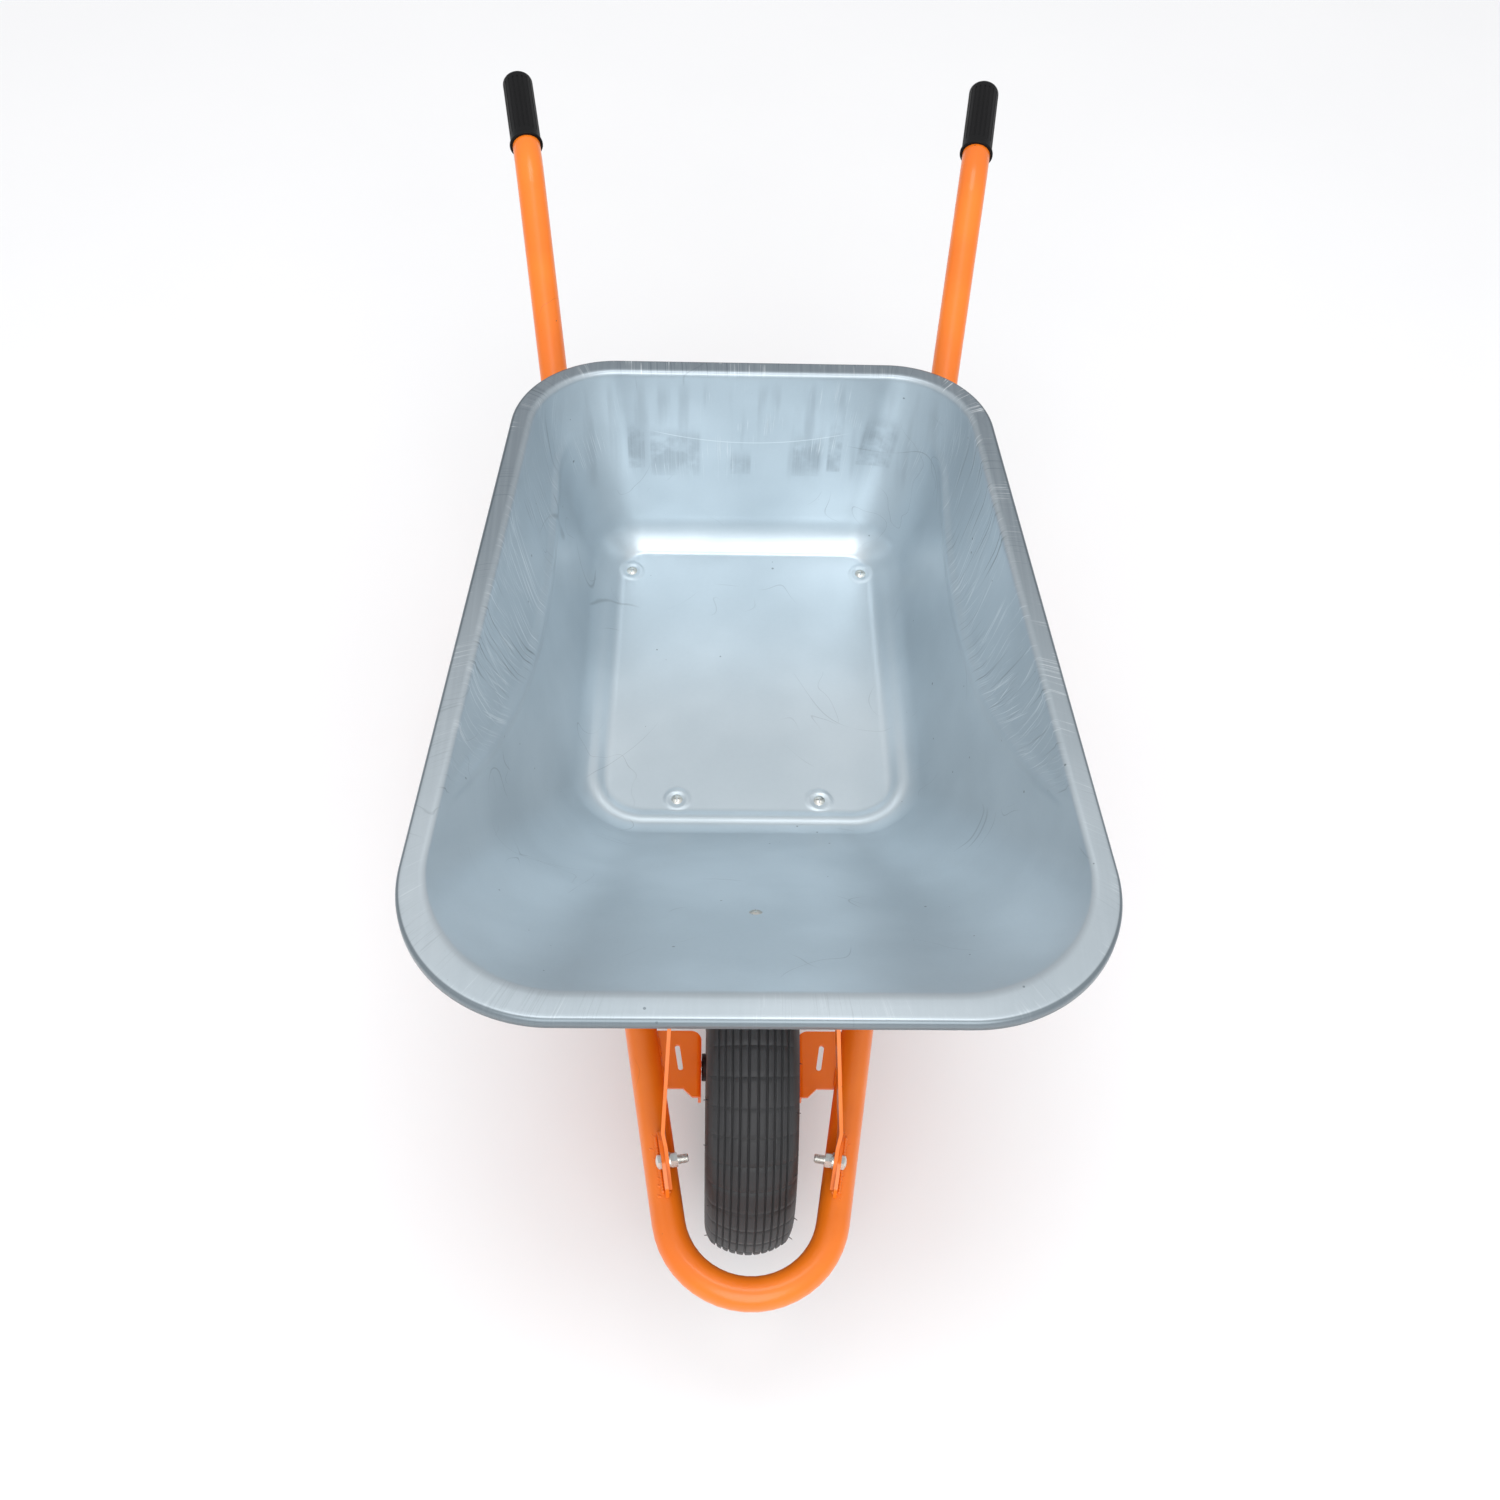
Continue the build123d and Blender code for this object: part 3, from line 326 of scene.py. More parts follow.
zinc = {
    "light": (0.63, 0.70, 0.745, 1), "dark": (0.50, 0.57, 0.615, 1),
    # lip: dark zinc for the lip, partly worn rolled metal and partly painted shade; the rubbed
    # patches use it too
    "scuff": (0.80, 0.85, 0.88, 1), "lip": (0.215, 0.255, 0.29, 1), "mark": (0.10, 0.13, 0.15, 1),
    "metallic": 0.74, "mottle": {"Cloud": 5.0, "Grain": 240.0, "Share": 0.22},
    # the last value here darkens the upper side walls: painted shade of the steeper facet above
    # the crease
    "rolled": (260.0, 3.0, 30.0), "lipTone": (0.35, 0.68), "upperPaintedShade": 0.30,
    # rubbed patches on the rear wall: middle, half width, low, high, slant
    "patches": ((-0.086, 0.029, 0.350, 0.430, 0.0), (-0.010, 0.012, 0.354, 0.395, 0.0),
                (0.066, 0.017, 0.352, 0.425, 0.0), (0.142, 0.020, 0.372, 0.450, 0.12),
                (-0.130, 0.010, 0.362, 0.440, 0.0), (0.098, 0.008, 0.360, 0.440, 0.0)),
    "smears": (70.0, 1.0, 5.0), "smearEdges": (0.50, 0.70), "smearShare": 0.4, "patchDark": 0.42,
    "arc": {"low": 0.405, "rise": 1.35, "half": 0.0011, "ends": (0.09, 0.12), "light": 0.7},
    "scratches": {
        "across": {"Fine": 520.0, "Long": 9.0, "Cover": 0.95, "Patch": 14.0},
        "scored": {"Fine": 610.0, "Long": 8.0, "Turn": 0.06, "Cover": 1.1, "Patch": 9.0},
        "slanted": {"Fine": 300.0, "Long": 5.0, "Turn": -0.62, "Cover": 1.25, "Patch": 7.0},
        "crossing": {"Fine": 420.0, "Long": 9.0, "Turn": -0.30, "Cover": 1.0, "Patch": 8.0},
        "rubbed": {"Fine": 230.0, "Long": 4.0, "Turn": -0.45, "Cover": 1.1, "Patch": 5.0}},
    "hairs": {"Size": 5.0, "Width": 0.0025, "Cover": 0.62},
    "fineHairs": {"Size": 13.0, "Width": 0.004, "Cover": 0.5},
    "specks": {"Size": 95.0, "Reach": 0.15, "Cover": 0.07},
    # how strongly each kind of mark shows
    "lightMarks": 0.85, "hairMarks": 0.30, "wornMarks": 0.5, "speckMarks": 0.6, "edgeMark": 0.72,
    "roughness": 0.40, "toneRough": -0.08, "markRough": 0.14, "upperRough": 0.05,
    "grainHeight": 0.25, "rolledHeight": 0.15, "scratchDepth": 0.6, "bump": (0.35, 0.0004)}


def traySheetFinish():
    material, tree, shader, place = newFinish("galvanisedTray")
    sheet = attributeVector(tree, "sheetMap")
    lip, upper, rear = splitVector(tree, attributeVector(tree, "sheetZone"))
    tone, grain = useGroup(tree, effects["mottle"], Map=place, **zinc["mottle"])
    colour = mixColour(tree, tone, zinc["dark"], zinc["light"])

    # rolling marks along the sheet, and a duller band above the pressed crease whose darker colour
    # is painted shade of the steeper facet
    rolled = noiseValue(tree, stretched(tree, place, zinc["rolled"]), 1.0, 3.0)
    colour = mixColour(tree, times(tree, upper, zinc["upperPaintedShade"]), colour, zinc["dark"])
    # the lip is darkened partly by rolling wear and partly by painted shade that grows towards the
    # rear
    lipWearAndPaintedShade = times(tree, lip, timesPlus(tree, rolled, *zinc["lipTone"]))
    colour = mixColour(tree, lipWearAndPaintedShade, colour, zinc["lip"])

    # rubbed patches and a shallow scratched arc on the rear wall
    smudge = noiseValue(tree, stretched(tree, place, zinc["smears"]), 1.0, 2.0, 0.4)
    smudge = times(tree, rampValue(tree, smudge, *zinc["smearEdges"]), zinc["smearShare"])
    for middle, halfWidth, low, high, slant in zinc["patches"]:
        patch = useGroup(tree, effects["smudge"], Map=place, Middle=middle, Half=halfWidth,
                         Low=low, High=high, Slant=slant)[0]
        smudge = larger(tree, smudge, patch)
    smudge = times(tree, smudge, rear)
    colour = mixColour(tree, times(tree, smudge, zinc["patchDark"]), colour, zinc["lip"])
    arc, axes = zinc["arc"], splitVector(tree, place)
    curve = timesPlus(tree, times(tree, axes["X"], axes["X"]), arc["rise"], arc["low"])
    arcGap = mathNode(tree, "ABSOLUTE", minus(tree, axes["Z"], curve))
    arcLine = minus(tree, 1.0, rampValue(tree, arcGap, 0.0, arc["half"]))
    arcEnds = rampValue(tree, mathNode(tree, "ABSOLUTE", axes["X"]), *arc["ends"])
    arcLine = times(tree, times(tree, arcLine, minus(tree, 1.0, arcEnds)), rear)
    colour = mixColour(tree, times(tree, arcLine, arc["light"]), colour, zinc["scuff"])

    # scratches: across the lip, slanted on the upper side walls, hairlines everywhere
    lines = {name: useGroup(tree, effects["scratch"], Map=sheet, **settings)[0]
             for name, settings in zinc["scratches"].items()}
    across = times(tree, lines["across"], larger(tree, lip, rear))
    scored = times(tree, lines["scored"], lip)
    slanted = times(tree, larger(tree, lines["slanted"], lines["crossing"]), upper)
    rubbed = times(tree, lines["rubbed"], upper)
    hairs = [useGroup(tree, effects["hairline"], Map=place, **zinc[key])[0]
             for key in ("hairs", "fineHairs")]
    lightMarks = larger(tree, across, slanted)
    colour = mixColour(tree, times(tree, lightMarks, zinc["lightMarks"]), colour, zinc["scuff"])
    darkMarks = times(tree, larger(tree, *hairs), zinc["hairMarks"])
    worn = times(tree, larger(tree, scored, rubbed), zinc["wornMarks"])
    colour = mixColour(tree, larger(tree, darkMarks, worn), colour, zinc["mark"])
    specks = useGroup(tree, effects["speck"], Map=place, **zinc["specks"])[0]
    colour = mixColour(tree, times(tree, specks, zinc["speckMarks"]), colour, zinc["mark"])
    edge = addNode(tree, "ShaderNodeAttribute", attribute_name="sheetEdge").outputs["Fac"]
    colour = mixColour(tree, times(tree, edge, zinc["edgeMark"]), colour, zinc["mark"])
    setInput(tree, shader, "Base Color", colour)
    setInput(tree, shader, "Metallic", zinc["metallic"])

    rough = timesPlus(tree, tone, zinc["toneRough"], zinc["roughness"])
    rough = timesPlus(tree, larger(tree, lightMarks, smudge), zinc["markRough"], rough)
    rough = timesPlus(tree, upper, zinc["upperRough"], rough)
    setInput(tree, shader, "Roughness", rough)
    height = timesPlus(tree, grain, zinc["grainHeight"], times(tree, rolled, zinc["rolledHeight"]))
    height = minus(tree, height, times(tree, lightMarks, zinc["scratchDepth"]))
    bumpFrom(tree, minus(tree, height, darkMarks), *zinc["bump"], shader)
    return material


plating = {
    "dark": (0.50, 0.50, 0.47, 1), "light": (0.78, 0.77, 0.72, 1), "spot": (0.22, 0.19, 0.15, 1),
    "metallic": 0.95, "roughness": (0.16, 0.20), "bump": (0.25, 0.0001),
    "mottle": {"Cloud": 60.0, "Grain": 900.0, "Share": 0.4},
    "spots": {"Size": 600.0, "Reach": 0.4, "Cover": 0.12}}


def zincFinish():
    # plated bolts, nuts and washers: yellowish highlights and small dull spots
    material, tree, shader, place = newFinish("zincPlating")
    tone, grain = useGroup(tree, effects["mottle"], Map=place, **plating["mottle"])
    colour = mixColour(tree, tone, plating["dark"], plating["light"])
    spots = useGroup(tree, effects["speck"], Map=place, **plating["spots"])[0]
    setInput(tree, shader, "Base Color", mixColour(tree, spots, colour, plating["spot"]))
    setInput(tree, shader, "Metallic", plating["metallic"])
    setInput(tree, shader, "Roughness", timesPlus(tree, tone, *plating["roughness"]))
    bumpFrom(tree, grain, *plating["bump"], shader)
    return material


paint = {
    "colour": (0.93, 0.215, 0.010, 1), "deep": (0.82, 0.165, 0.006, 1),
    "worn": (0.16, 0.06, 0.03, 1), "roughness": (0.12, 0.24), "coat": 0.16, "coatRough": 0.08,
    "mottle": {"Cloud": 9.0, "Grain": 420.0, "Share": 0.15},
    "chips": {"Size": 120.0, "Reach": 0.14, "Cover": 0.035},
    "lines": {"Size": 17.0, "Width": 0.006, "Cover": 0.35}, "lineShare": 0.35,
    "peel": (260.0, 2.0, 0.4), "chipDepth": 1.5, "bump": (0.22, 0.0005)}


def orangePaintFinish():
    material, tree, shader, place = newFinish("orangeEnamel")
    tone, grain = useGroup(tree, effects["mottle"], Map=place, **paint["mottle"])
    colour = mixColour(tree, tone, paint["deep"], paint["colour"])
    chips = useGroup(tree, effects["speck"], Map=place, **paint["chips"])[0]
    lines = useGroup(tree, effects["hairline"], Map=place, **paint["lines"])[0]
    worn = larger(tree, chips, times(tree, lines, paint["lineShare"]))
    setInput(tree, shader, "Base Color", mixColour(tree, worn, colour, paint["worn"]))
    setInput(tree, shader, "Roughness", timesPlus(tree, grain, *paint["roughness"]))
    setInput(tree, shader, "Coat Weight", paint["coat"])
    setInput(tree, shader, "Coat Roughness", paint["coatRough"])
    peel = noiseValue(tree, place, *paint["peel"])
    height = minus(tree, peel, times(tree, worn, paint["chipDepth"]))
    bumpFrom(tree, height, *paint["bump"], shader)
    return material


rubber = {
    "mottle": {"Cloud": 22.0, "Grain": 700.0, "Share": 0.35}, "paler": 1.8,
    "dust": (0.16, 0.115, 0.075, 1), "toneRough": 0.12, "dustRough": 0.3, "bump": (0.3, 0.0003)}


def rubberFinish(name, colour, roughness, gloss, dustTop=0.0, dustFade=0.1, dustAmount=0.0):
    material, tree, shader, place = newFinish(name)
    tone, grain = useGroup(tree, effects["mottle"], Map=place, **rubber["mottle"])
    paler = [min(1.0, c * rubber["paler"]) for c in colour[:3]] + [1]
    dust = useGroup(tree, effects["dust"], Map=place, Top=dustTop, Fade=dustFade,
                    Amount=dustAmount)[0]
    colour = mixColour(tree, dust, mixColour(tree, tone, colour, paler), rubber["dust"])
    setInput(tree, shader, "Base Color", colour)
    rough = timesPlus(tree, tone, rubber["toneRough"], roughness)
    setInput(tree, shader, "Roughness", timesPlus(tree, dust, rubber["dustRough"], rough))
    setInput(tree, shader, "Specular IOR Level", gloss)
    bumpFrom(tree, grain, *rubber["bump"], shader)
    return material


steel = {
    "dark": (0.55, 0.55, 0.56, 1), "light": (0.8, 0.8, 0.8, 1), "roughness": (0.15, 0.12),
    "mottle": {"Cloud": 80.0, "Grain": 1500.0, "Share": 0.5}}


def polishedSteelFinish():
    material, tree, shader, place = newFinish("groundSteel")
    tone, grain = useGroup(tree, effects["mottle"], Map=place, **steel["mottle"])
    setInput(tree, shader, "Base Color", mixColour(tree, tone, steel["dark"], steel["light"]))
    setInput(tree, shader, "Metallic", 1.0)
    setInput(tree, shader, "Roughness", timesPlus(tree, grain, *steel["roughness"]))
    return material


finishes = {
    "galvanised_sheet": traySheetFinish(),
    "orange_paint": orangePaintFinish(),
    "zinc_fasteners": zincFinish(),
    "grip_rubber": rubberFinish("gripRubber", (0.0032, 0.0032, 0.0036, 1), 0.42, 0.16),
    "tyre_rubber": rubberFinish("tyreRubber", (0.016, 0.016, 0.017, 1), 0.50, 0.45,
                                dustTop=0.17, dustFade=0.17, dustAmount=0.6),
    "tube_rubber": rubberFinish("tubeRubber", (0.02, 0.02, 0.02, 1), 0.5, 0.4),
    "bearing_steel": polishedSteelFinish(),
    "black_plastic": rubberFinish("blackPlastic", (0.010, 0.010, 0.011, 1), 0.36, 0.35,
                                  dustTop=0.2, dustFade=0.2, dustAmount=0.2)}
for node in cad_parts.values():
    for holder in node.material_slots:
        holder.material = finishes[holder.material.name]
print("finishes given to the frame")


def newPiece(name, points, faces, slot, body):
    mesh = bpy.data.meshes.new(name)
    mesh.from_pydata([tuple(p) for p in points], [], faces)
    mesh.update()
    piece = bpy.data.objects.new(name, mesh)
    bpy.context.scene.collection.objects.link(piece)
    mesh.materials.append(finishes[slot])
    for polygon in mesh.polygons:
        polygon.use_smooth = True
    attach(piece, body)
    return piece


def ringFaces(rings, count, start=0):
    # quads between neighbouring closed rings of points that were listed ring by ring
    faces = []
    for ring in range(rings - 1):
        low, high = start + ring * count, start + (ring + 1) * count
        for step in range(count):
            following = (step + 1) % count
            faces.append((low + step, low + following, high + following, high + step))
    return faces


def smoothStep(value, low, high):
    share = np.clip((value - low) / (high - low), 0.0, 1.0)
    return share * share * (3 - 2 * share)


def unit(vectors):
    return vectors / np.maximum(np.linalg.norm(vectors, axis=-1, keepdims=True), 1e-9)


tray = {
    "sheet": 0.0012, "edgeStep": 0.0045,
    "lipHalf": (0.3164, 0.2480), "lipCorner": (0.136, 0.109),    # front, rear
    "lipWidth": (0.025, 0.020, 0.020),                           # front, rear, sides
    "mouthCorner": (0.125, 0.090), "lipDown": 0.009, "lipRoll": 0.0042, "mouthRoll": 0.0055,
    "rolledRings": 7, "rimDrop": 0.0610,                         # front of the rim above its rear
    "wallRows": 62, "mouthSteps": 6, "rollSteps": 7, "footSteps": 7,
    "lipShares": (0.45, 0.6, 0.75), "sideLong": 0.62, "frontShare": 0.6, "cornerLong": 0.19,
    "floorY": (-0.165, 0.255), "floorHalf": (0.184, 0.176), "floorCorner": (0.070, 0.058),
    # guides of the foot's bend: how far in along the floor and how far up the wall
    "foot": ((0.032, 0.0), (0.024, 0.0), (0.003, 0.024), (0.0, 0.050), (0.0, 0.088)),
    "footRear": ((0.026, 0.0), (0.020, 0.0), (-0.001, 0.031), (0.0, 0.062), (0.0, 0.098)),
    "footFront": ((0.024, 0.0), (0.012, 0.0), (0.0, 0.010), (0.0, 0.024), (0.0, 0.050)),
    "beadAt": 0.0155, "beadHalf": 0.0105, "beadHigh": (0.0026, 0.0012),   # at the front, elsewhere
    "beadFront": (0.02, 0.13), "beadRear": (0.19, 0.225),                 # where it changes
    "panelShares": ((0.03, 0.66, 14), (0.68, 1.0, 26)), "frontInset": 0.0007,
    "footAtFront": (0.095, 0.160), "footAtRear": (0.215, 0.252),
    "creaseLow": 0.555, "creaseY": 0.013, "creaseRise": 3.74, "creaseHalf": 0.030,
    "creaseHigh": 0.0034, "creaseStep": 0.6, "creaseAcross": (0.165, 0.20),
    "creaseAlong": (-0.24, -0.17), "creaseEnds": ((0.10, 0.35), (0.02, 0.10)),
    "creaseSoft": (-1.0, 1.6), "upperFrom": (-0.4, 0.8),
    "screwRing": 0.0112, "screwRingHalf": 0.0036, "screwRingHigh": 0.0013}


def roundedTrapezoid(frontY, rearY, halfFront, halfRear, cornerFront, cornerRear, counts):
    # points round the outline from the middle of the rear edge, and the way inward at each
    corners = [(halfRear, rearY, cornerRear), (halfFront, frontY, cornerFront),
               (-halfFront, frontY, cornerFront), (-halfRear, rearY, cornerRear)]
    points, inward = [], []
    middleRear = np.array([0.0, rearY])
    arcs = []
    for index, (x, y, radius) in enumerate(corners):
        here = np.array([x, y])
        before = np.array(corners[index - 1][:2])
        after = np.array(corners[(index + 1) % 4][:2])
        a, b = unit(before - here), unit(after - here)
        opening = math.acos(float(a @ b))
        reach = radius / math.tan(opening / 2)
        middle = here + unit(a + b) * radius / math.sin(opening / 2)
        arcs.append((here + a * reach, here + b * reach, middle))
    edges = [(middleRear, arcs[0][0])]
    for index in range(3):
        edges.append((arcs[index][1], arcs[index + 1][0]))
    edges.append((arcs[3][1], middleRear))
    straight, bend = counts
    for index, (first, last) in enumerate(edges):
        steps = straight[index]
        across = unit(last - first)
        side = np.array([across[1], -across[0]])
        for step in range(steps):
            points.append(first + (last - first) * step / steps)
            inward.append(side)
        if index < 4:
            enter, leave, middle = arcs[index]
            a, b = enter - middle, leave - middle
            angle = math.acos(float(unit(a) @ unit(b)))
            for step in range(bend):
                share = step / bend
                spoke = math.sin((1 - share) * angle) * a + math.sin(share * angle) * b
                spoke = spoke / math.sin(angle)
                points.append(middle + spoke)
                inward.append(-unit(spoke))
    return np.array(points), np.array(inward)


def footWays(floor):
    # the foot's guides at every place round the floor: how far in and how far up
    atFront = smoothStep(-floor[:, 1], *tray["footAtFront"])[:, None]
    atRear = smoothStep(floor[:, 1], *tray["footAtRear"])[:, None]
    ways = []
    for side, front, rear in zip(tray["foot"], tray["footFront"], tray["footRear"]):
        side, front, rear = np.array(side), np.array(front), np.array(rear)
        ways.append(side + (front - side) * atFront + (rear - side) * atRear)
    return ways


def footPoints(corner, inward, wall, ways, steps):
    # the bend between floor and wall: nearly straight and slanted low down, then slowly upright
    guides = [corner + inward * way[:, :1] + wall * way[:, 1:] for way in ways]
    made = [guides[0]]
    spans = len(guides) - 2
    for span in range(spans):
        first = guides[0] if span == 0 else (guides[span] + guides[span + 1]) / 2
        last = guides[-1] if span == spans - 1 else (guides[span + 1] + guides[span + 2]) / 2
        for step in range(1, steps + 1):
            t = step / steps
            made.append((1 - t) ** 2 * first + 2 * t * (1 - t) * guides[span + 1] + t * t * last)
    return made


def bendPoints(corner, toFirst, toLast, reachFirst, reachLast, steps):
    # a soft bend that leaves one side and joins the other, with the sharp corner as its guide
    first, last = corner + toFirst * reachFirst, corner + toLast * reachLast
    made = []
    for step in range(steps + 1):
        t = step / steps
        made.append((1 - t) ** 2 * first + 2 * t * (1 - t) * corner + t * t * last)
    return made


def trayCounts():
    step = tray["edgeStep"]
    rear = int(tray["lipHalf"][1] / step)
    side = int(tray["sideLong"] / step)
    front = int(2 * tray["lipHalf"][0] * tray["frontShare"] / step)
    return (rear, side, front, side, rear), int(tray["cornerLong"] / step)


def trayRings():
    low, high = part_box("tray")
    counts = trayCounts()
    frontZ, rearZ = high.z, high.z - tray["rimDrop"]
    frontY, rearY = low.y + tray["frontInset"], high.y
    wideFront, wideRear = tray["lipHalf"]
    taper = (wideFront - wideRear) / (rearY - frontY)

    def onRim(points):
        z = frontZ + (rearZ - frontZ) * (points[:, 1] - frontY) / (rearY - frontY)
        return np.column_stack([points, z])

    lipFlat = roundedTrapezoid(
        frontY, rearY, wideFront, wideRear, *tray["lipCorner"], counts)[0]
    lipFront, lipRear, lipSide = tray["lipWidth"]
    mouthFlat = roundedTrapezoid(
        frontY + lipFront, rearY - lipRear,
        wideFront - lipSide - taper * lipFront, wideRear - lipSide + taper * lipRear,
        *tray["mouthCorner"], counts)[0]
    floorZ = low.z + tray["sheet"]
    floorFlat, floorIn = roundedTrapezoid(
        *tray["floorY"], *tray["floorHalf"], *tray["floorCorner"], counts)
    floor = np.column_stack([floorFlat, np.full(len(floorFlat), floorZ)])
    inward = np.column_stack([floorIn, np.zeros(len(floorIn))])
    return onRim(lipFlat), onRim(mouthFlat), floor, inward, floorZ


def softRing(gap):
    # one in the middle of a ridge, nothing beyond its half width
    return np.where(gap < 1, 0.5 + 0.5 * np.cos(np.pi * np.minimum(gap, 1)), 0.0)


def panelHeight(points, depth):
    # the bead round the floor panel and the raised rings round the front screws
    gap = np.abs(depth - tray["beadAt"]) / tray["beadHalf"]
    atFront, elsewhere = tray["beadHigh"]
    height = elsewhere + (atFront - elsewhere) * smoothStep(-points[:, 1], *tray["beadFront"])
    height = height * (1 - smoothStep(points[:, 1], *tray["beadRear"]))
    high = height * softRing(gap)
    for name, amount in (("floor_screws_front", 1.0), ("floor_screws_rear", 0.9)):
        low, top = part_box(name)
        radius = (top.y - low.y) / 2
        for side in (-1, 1):
            across = points[:, 0] - side * (top.x - radius)
            away = np.hypot(across, points[:, 1] - (low.y + top.y) / 2)
            gap = np.abs(away - tray["screwRing"]) / tray["screwRingHalf"]
            high = high + amount * tray["screwRingHigh"] * softRing(gap)
    return high


def trayPanel(floor, inward, floorZ, reach):
    # rings across the flat floor, close together near its edge, from the middle outwards
    shares = np.concatenate([np.linspace(*part) for part in tray["panelShares"]])
    middle = np.array([0.0, (tray["floorY"][0] + tray["floorY"][1]) / 2, floorZ])
    edge = floor + inward * reach[:, None]
    rings, depths = [], []
    for share in shares:
        ring = middle + (edge - middle) * share
        depth = np.einsum("ij,ij->i", edge - ring, -inward) + reach
        ring[:, 2] += panelHeight(ring, depth)
        rings.append(ring)
        depths.append(-depth)
    return rings, depths


def wallShape(points, share, outward):
    # the side walls stand a little fuller below the pressed crease, with a soft ridge along it
    side = smoothStep(np.abs(points[:, 0]), *tray["creaseAcross"])
    side = side * smoothStep(-points[:, 1], *tray["creaseAlong"])
    crease = tray["creaseLow"] + tray["creaseRise"] * (points[:, 1] - tray["creaseY"]) ** 2
    gap = (share - crease) / tray["creaseHalf"]
    ridge = np.exp(-gap * gap) - tray["creaseStep"] * smoothStep(gap, *tray["creaseSoft"])
    atFoot, atMouth = tray["creaseEnds"]
    fade = smoothStep(share, *atFoot) * smoothStep(1 - share, *atMouth) * side
    shaped = points - outward * (tray["creaseHigh"] * ridge * fade)[:, None]
    return shaped, side * smoothStep(gap, *tray["upperFrom"])


def makeTray():
    lip, mouth, floor, inward, floorZ = trayRings()
    count = len(lip)
    up = np.array([0.0, 0.0, 1.0])
    wall = unit(mouth - floor)
    wallLength = np.linalg.norm(mouth - floor, axis=1)
    lipOut = unit(lip - mouth)
    tilt = math.atan2(tray["rimDrop"], lip[:, 1].max() - lip[:, 1].min())
    rimDown = np.array([0.0, -math.sin(tilt), -math.cos(tilt)])
    along = np.cross(np.roll(lip, -1, axis=0) - np.roll(lip, 1, axis=0), up)
    outward = unit(np.cross(np.cross(wall, unit(along)), wall))
    outward *= np.sign(np.einsum("ij,ij->i", outward, -inward))[:, None]

    rings, distances, zones = [], [], []

    def keep(ring, distance, onLip=0.0, upper=None):
        rings.append(ring)
        distances.append(np.broadcast_to(distance, (count,)))
        zones.append((np.full(count, onLip), upper if upper is not None else np.zeros(count)))

    ways = footWays(floor)
    panelRings, depths = trayPanel(floor, inward, floorZ, ways[0][:, 0])
    for ring, depth in zip(panelRings, depths):
        keep(ring, depth)
    footUp = ways[-1][:, 1]
    foot = footPoints(floor, inward, wall, ways, tray["footSteps"])[1:]
    for index, ring in enumerate(foot):
        depth = np.einsum("ij,ij->i", ring - floor, inward)
        keep(ring + up * panelHeight(ring, depth)[:, None], footUp * (index + 1) / len(foot))
    rows = tray["wallRows"]
    for row in range(1, rows):
        at = footUp + (wallLength - footUp - tray["mouthRoll"]) * row / rows
        ring = floor + wall * at[:, None]
        ring, upper = wallShape(ring, at / wallLength, outward)
        keep(ring, at, 0.0, upper)
    topUpper, steps, roll = upper, tray["mouthSteps"], tray["mouthRoll"]
    for index, ring in enumerate(bendPoints(mouth, -wall, lipOut, roll, roll, steps)):
        keep(ring, wallLength + index * 0.0015, index / steps, topUpper * (1 - index / steps))
    lipLength = np.linalg.norm(lip - mouth, axis=1)
    for share in tray["lipShares"]:
        ring = mouth + (lip - mouth) * share
        keep(ring, wallLength + lipLength * share, 1.0)
    downs, roll, steps = np.tile(rimDown, (count, 1)), tray["lipRoll"], tray["rollSteps"]
    for index, ring in enumerate(bendPoints(lip, -lipOut, downs, roll, roll, steps)):
        keep(ring, wallLength + lipLength + index * 0.001, 1.0)
    keep(lip + rimDown * tray["lipDown"], wallLength + lipLength + tray["lipDown"], 1.0)

    points = np.vstack(rings)
    faces = [tuple(reversed(face)) for face in ringFaces(len(rings), count)]
    hub = len(points)
    points = np.vstack([points, rings[0].mean(axis=0)])
    faces += [(hub, step, (step + 1) % count) for step in range(count)]
    piece = newPiece("trayShell", points, faces, "galvanised_sheet", "barrow")
    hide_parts("tray")
    addTrayMaps(piece, lip, distances, zones, rings)
    shell = piece.modifiers.new("sheet", "SOLIDIFY")
    shell.thickness, shell.offset = tray["sheet"], -1.0


trayZones = {
    # lipLeast and lipFrom: the lip is darkened least at the front and fully towards the rear, a
    # painted shade
    "lipLeast": 0.3, "lipFrom": (-0.42, 0.10), "rearFrom": (0.10, 0.24), "wallFrom": (0.2, 0.235),
    "bandLow": (0.30, 0.42), "bandHigh": (0.18, 0.30)}


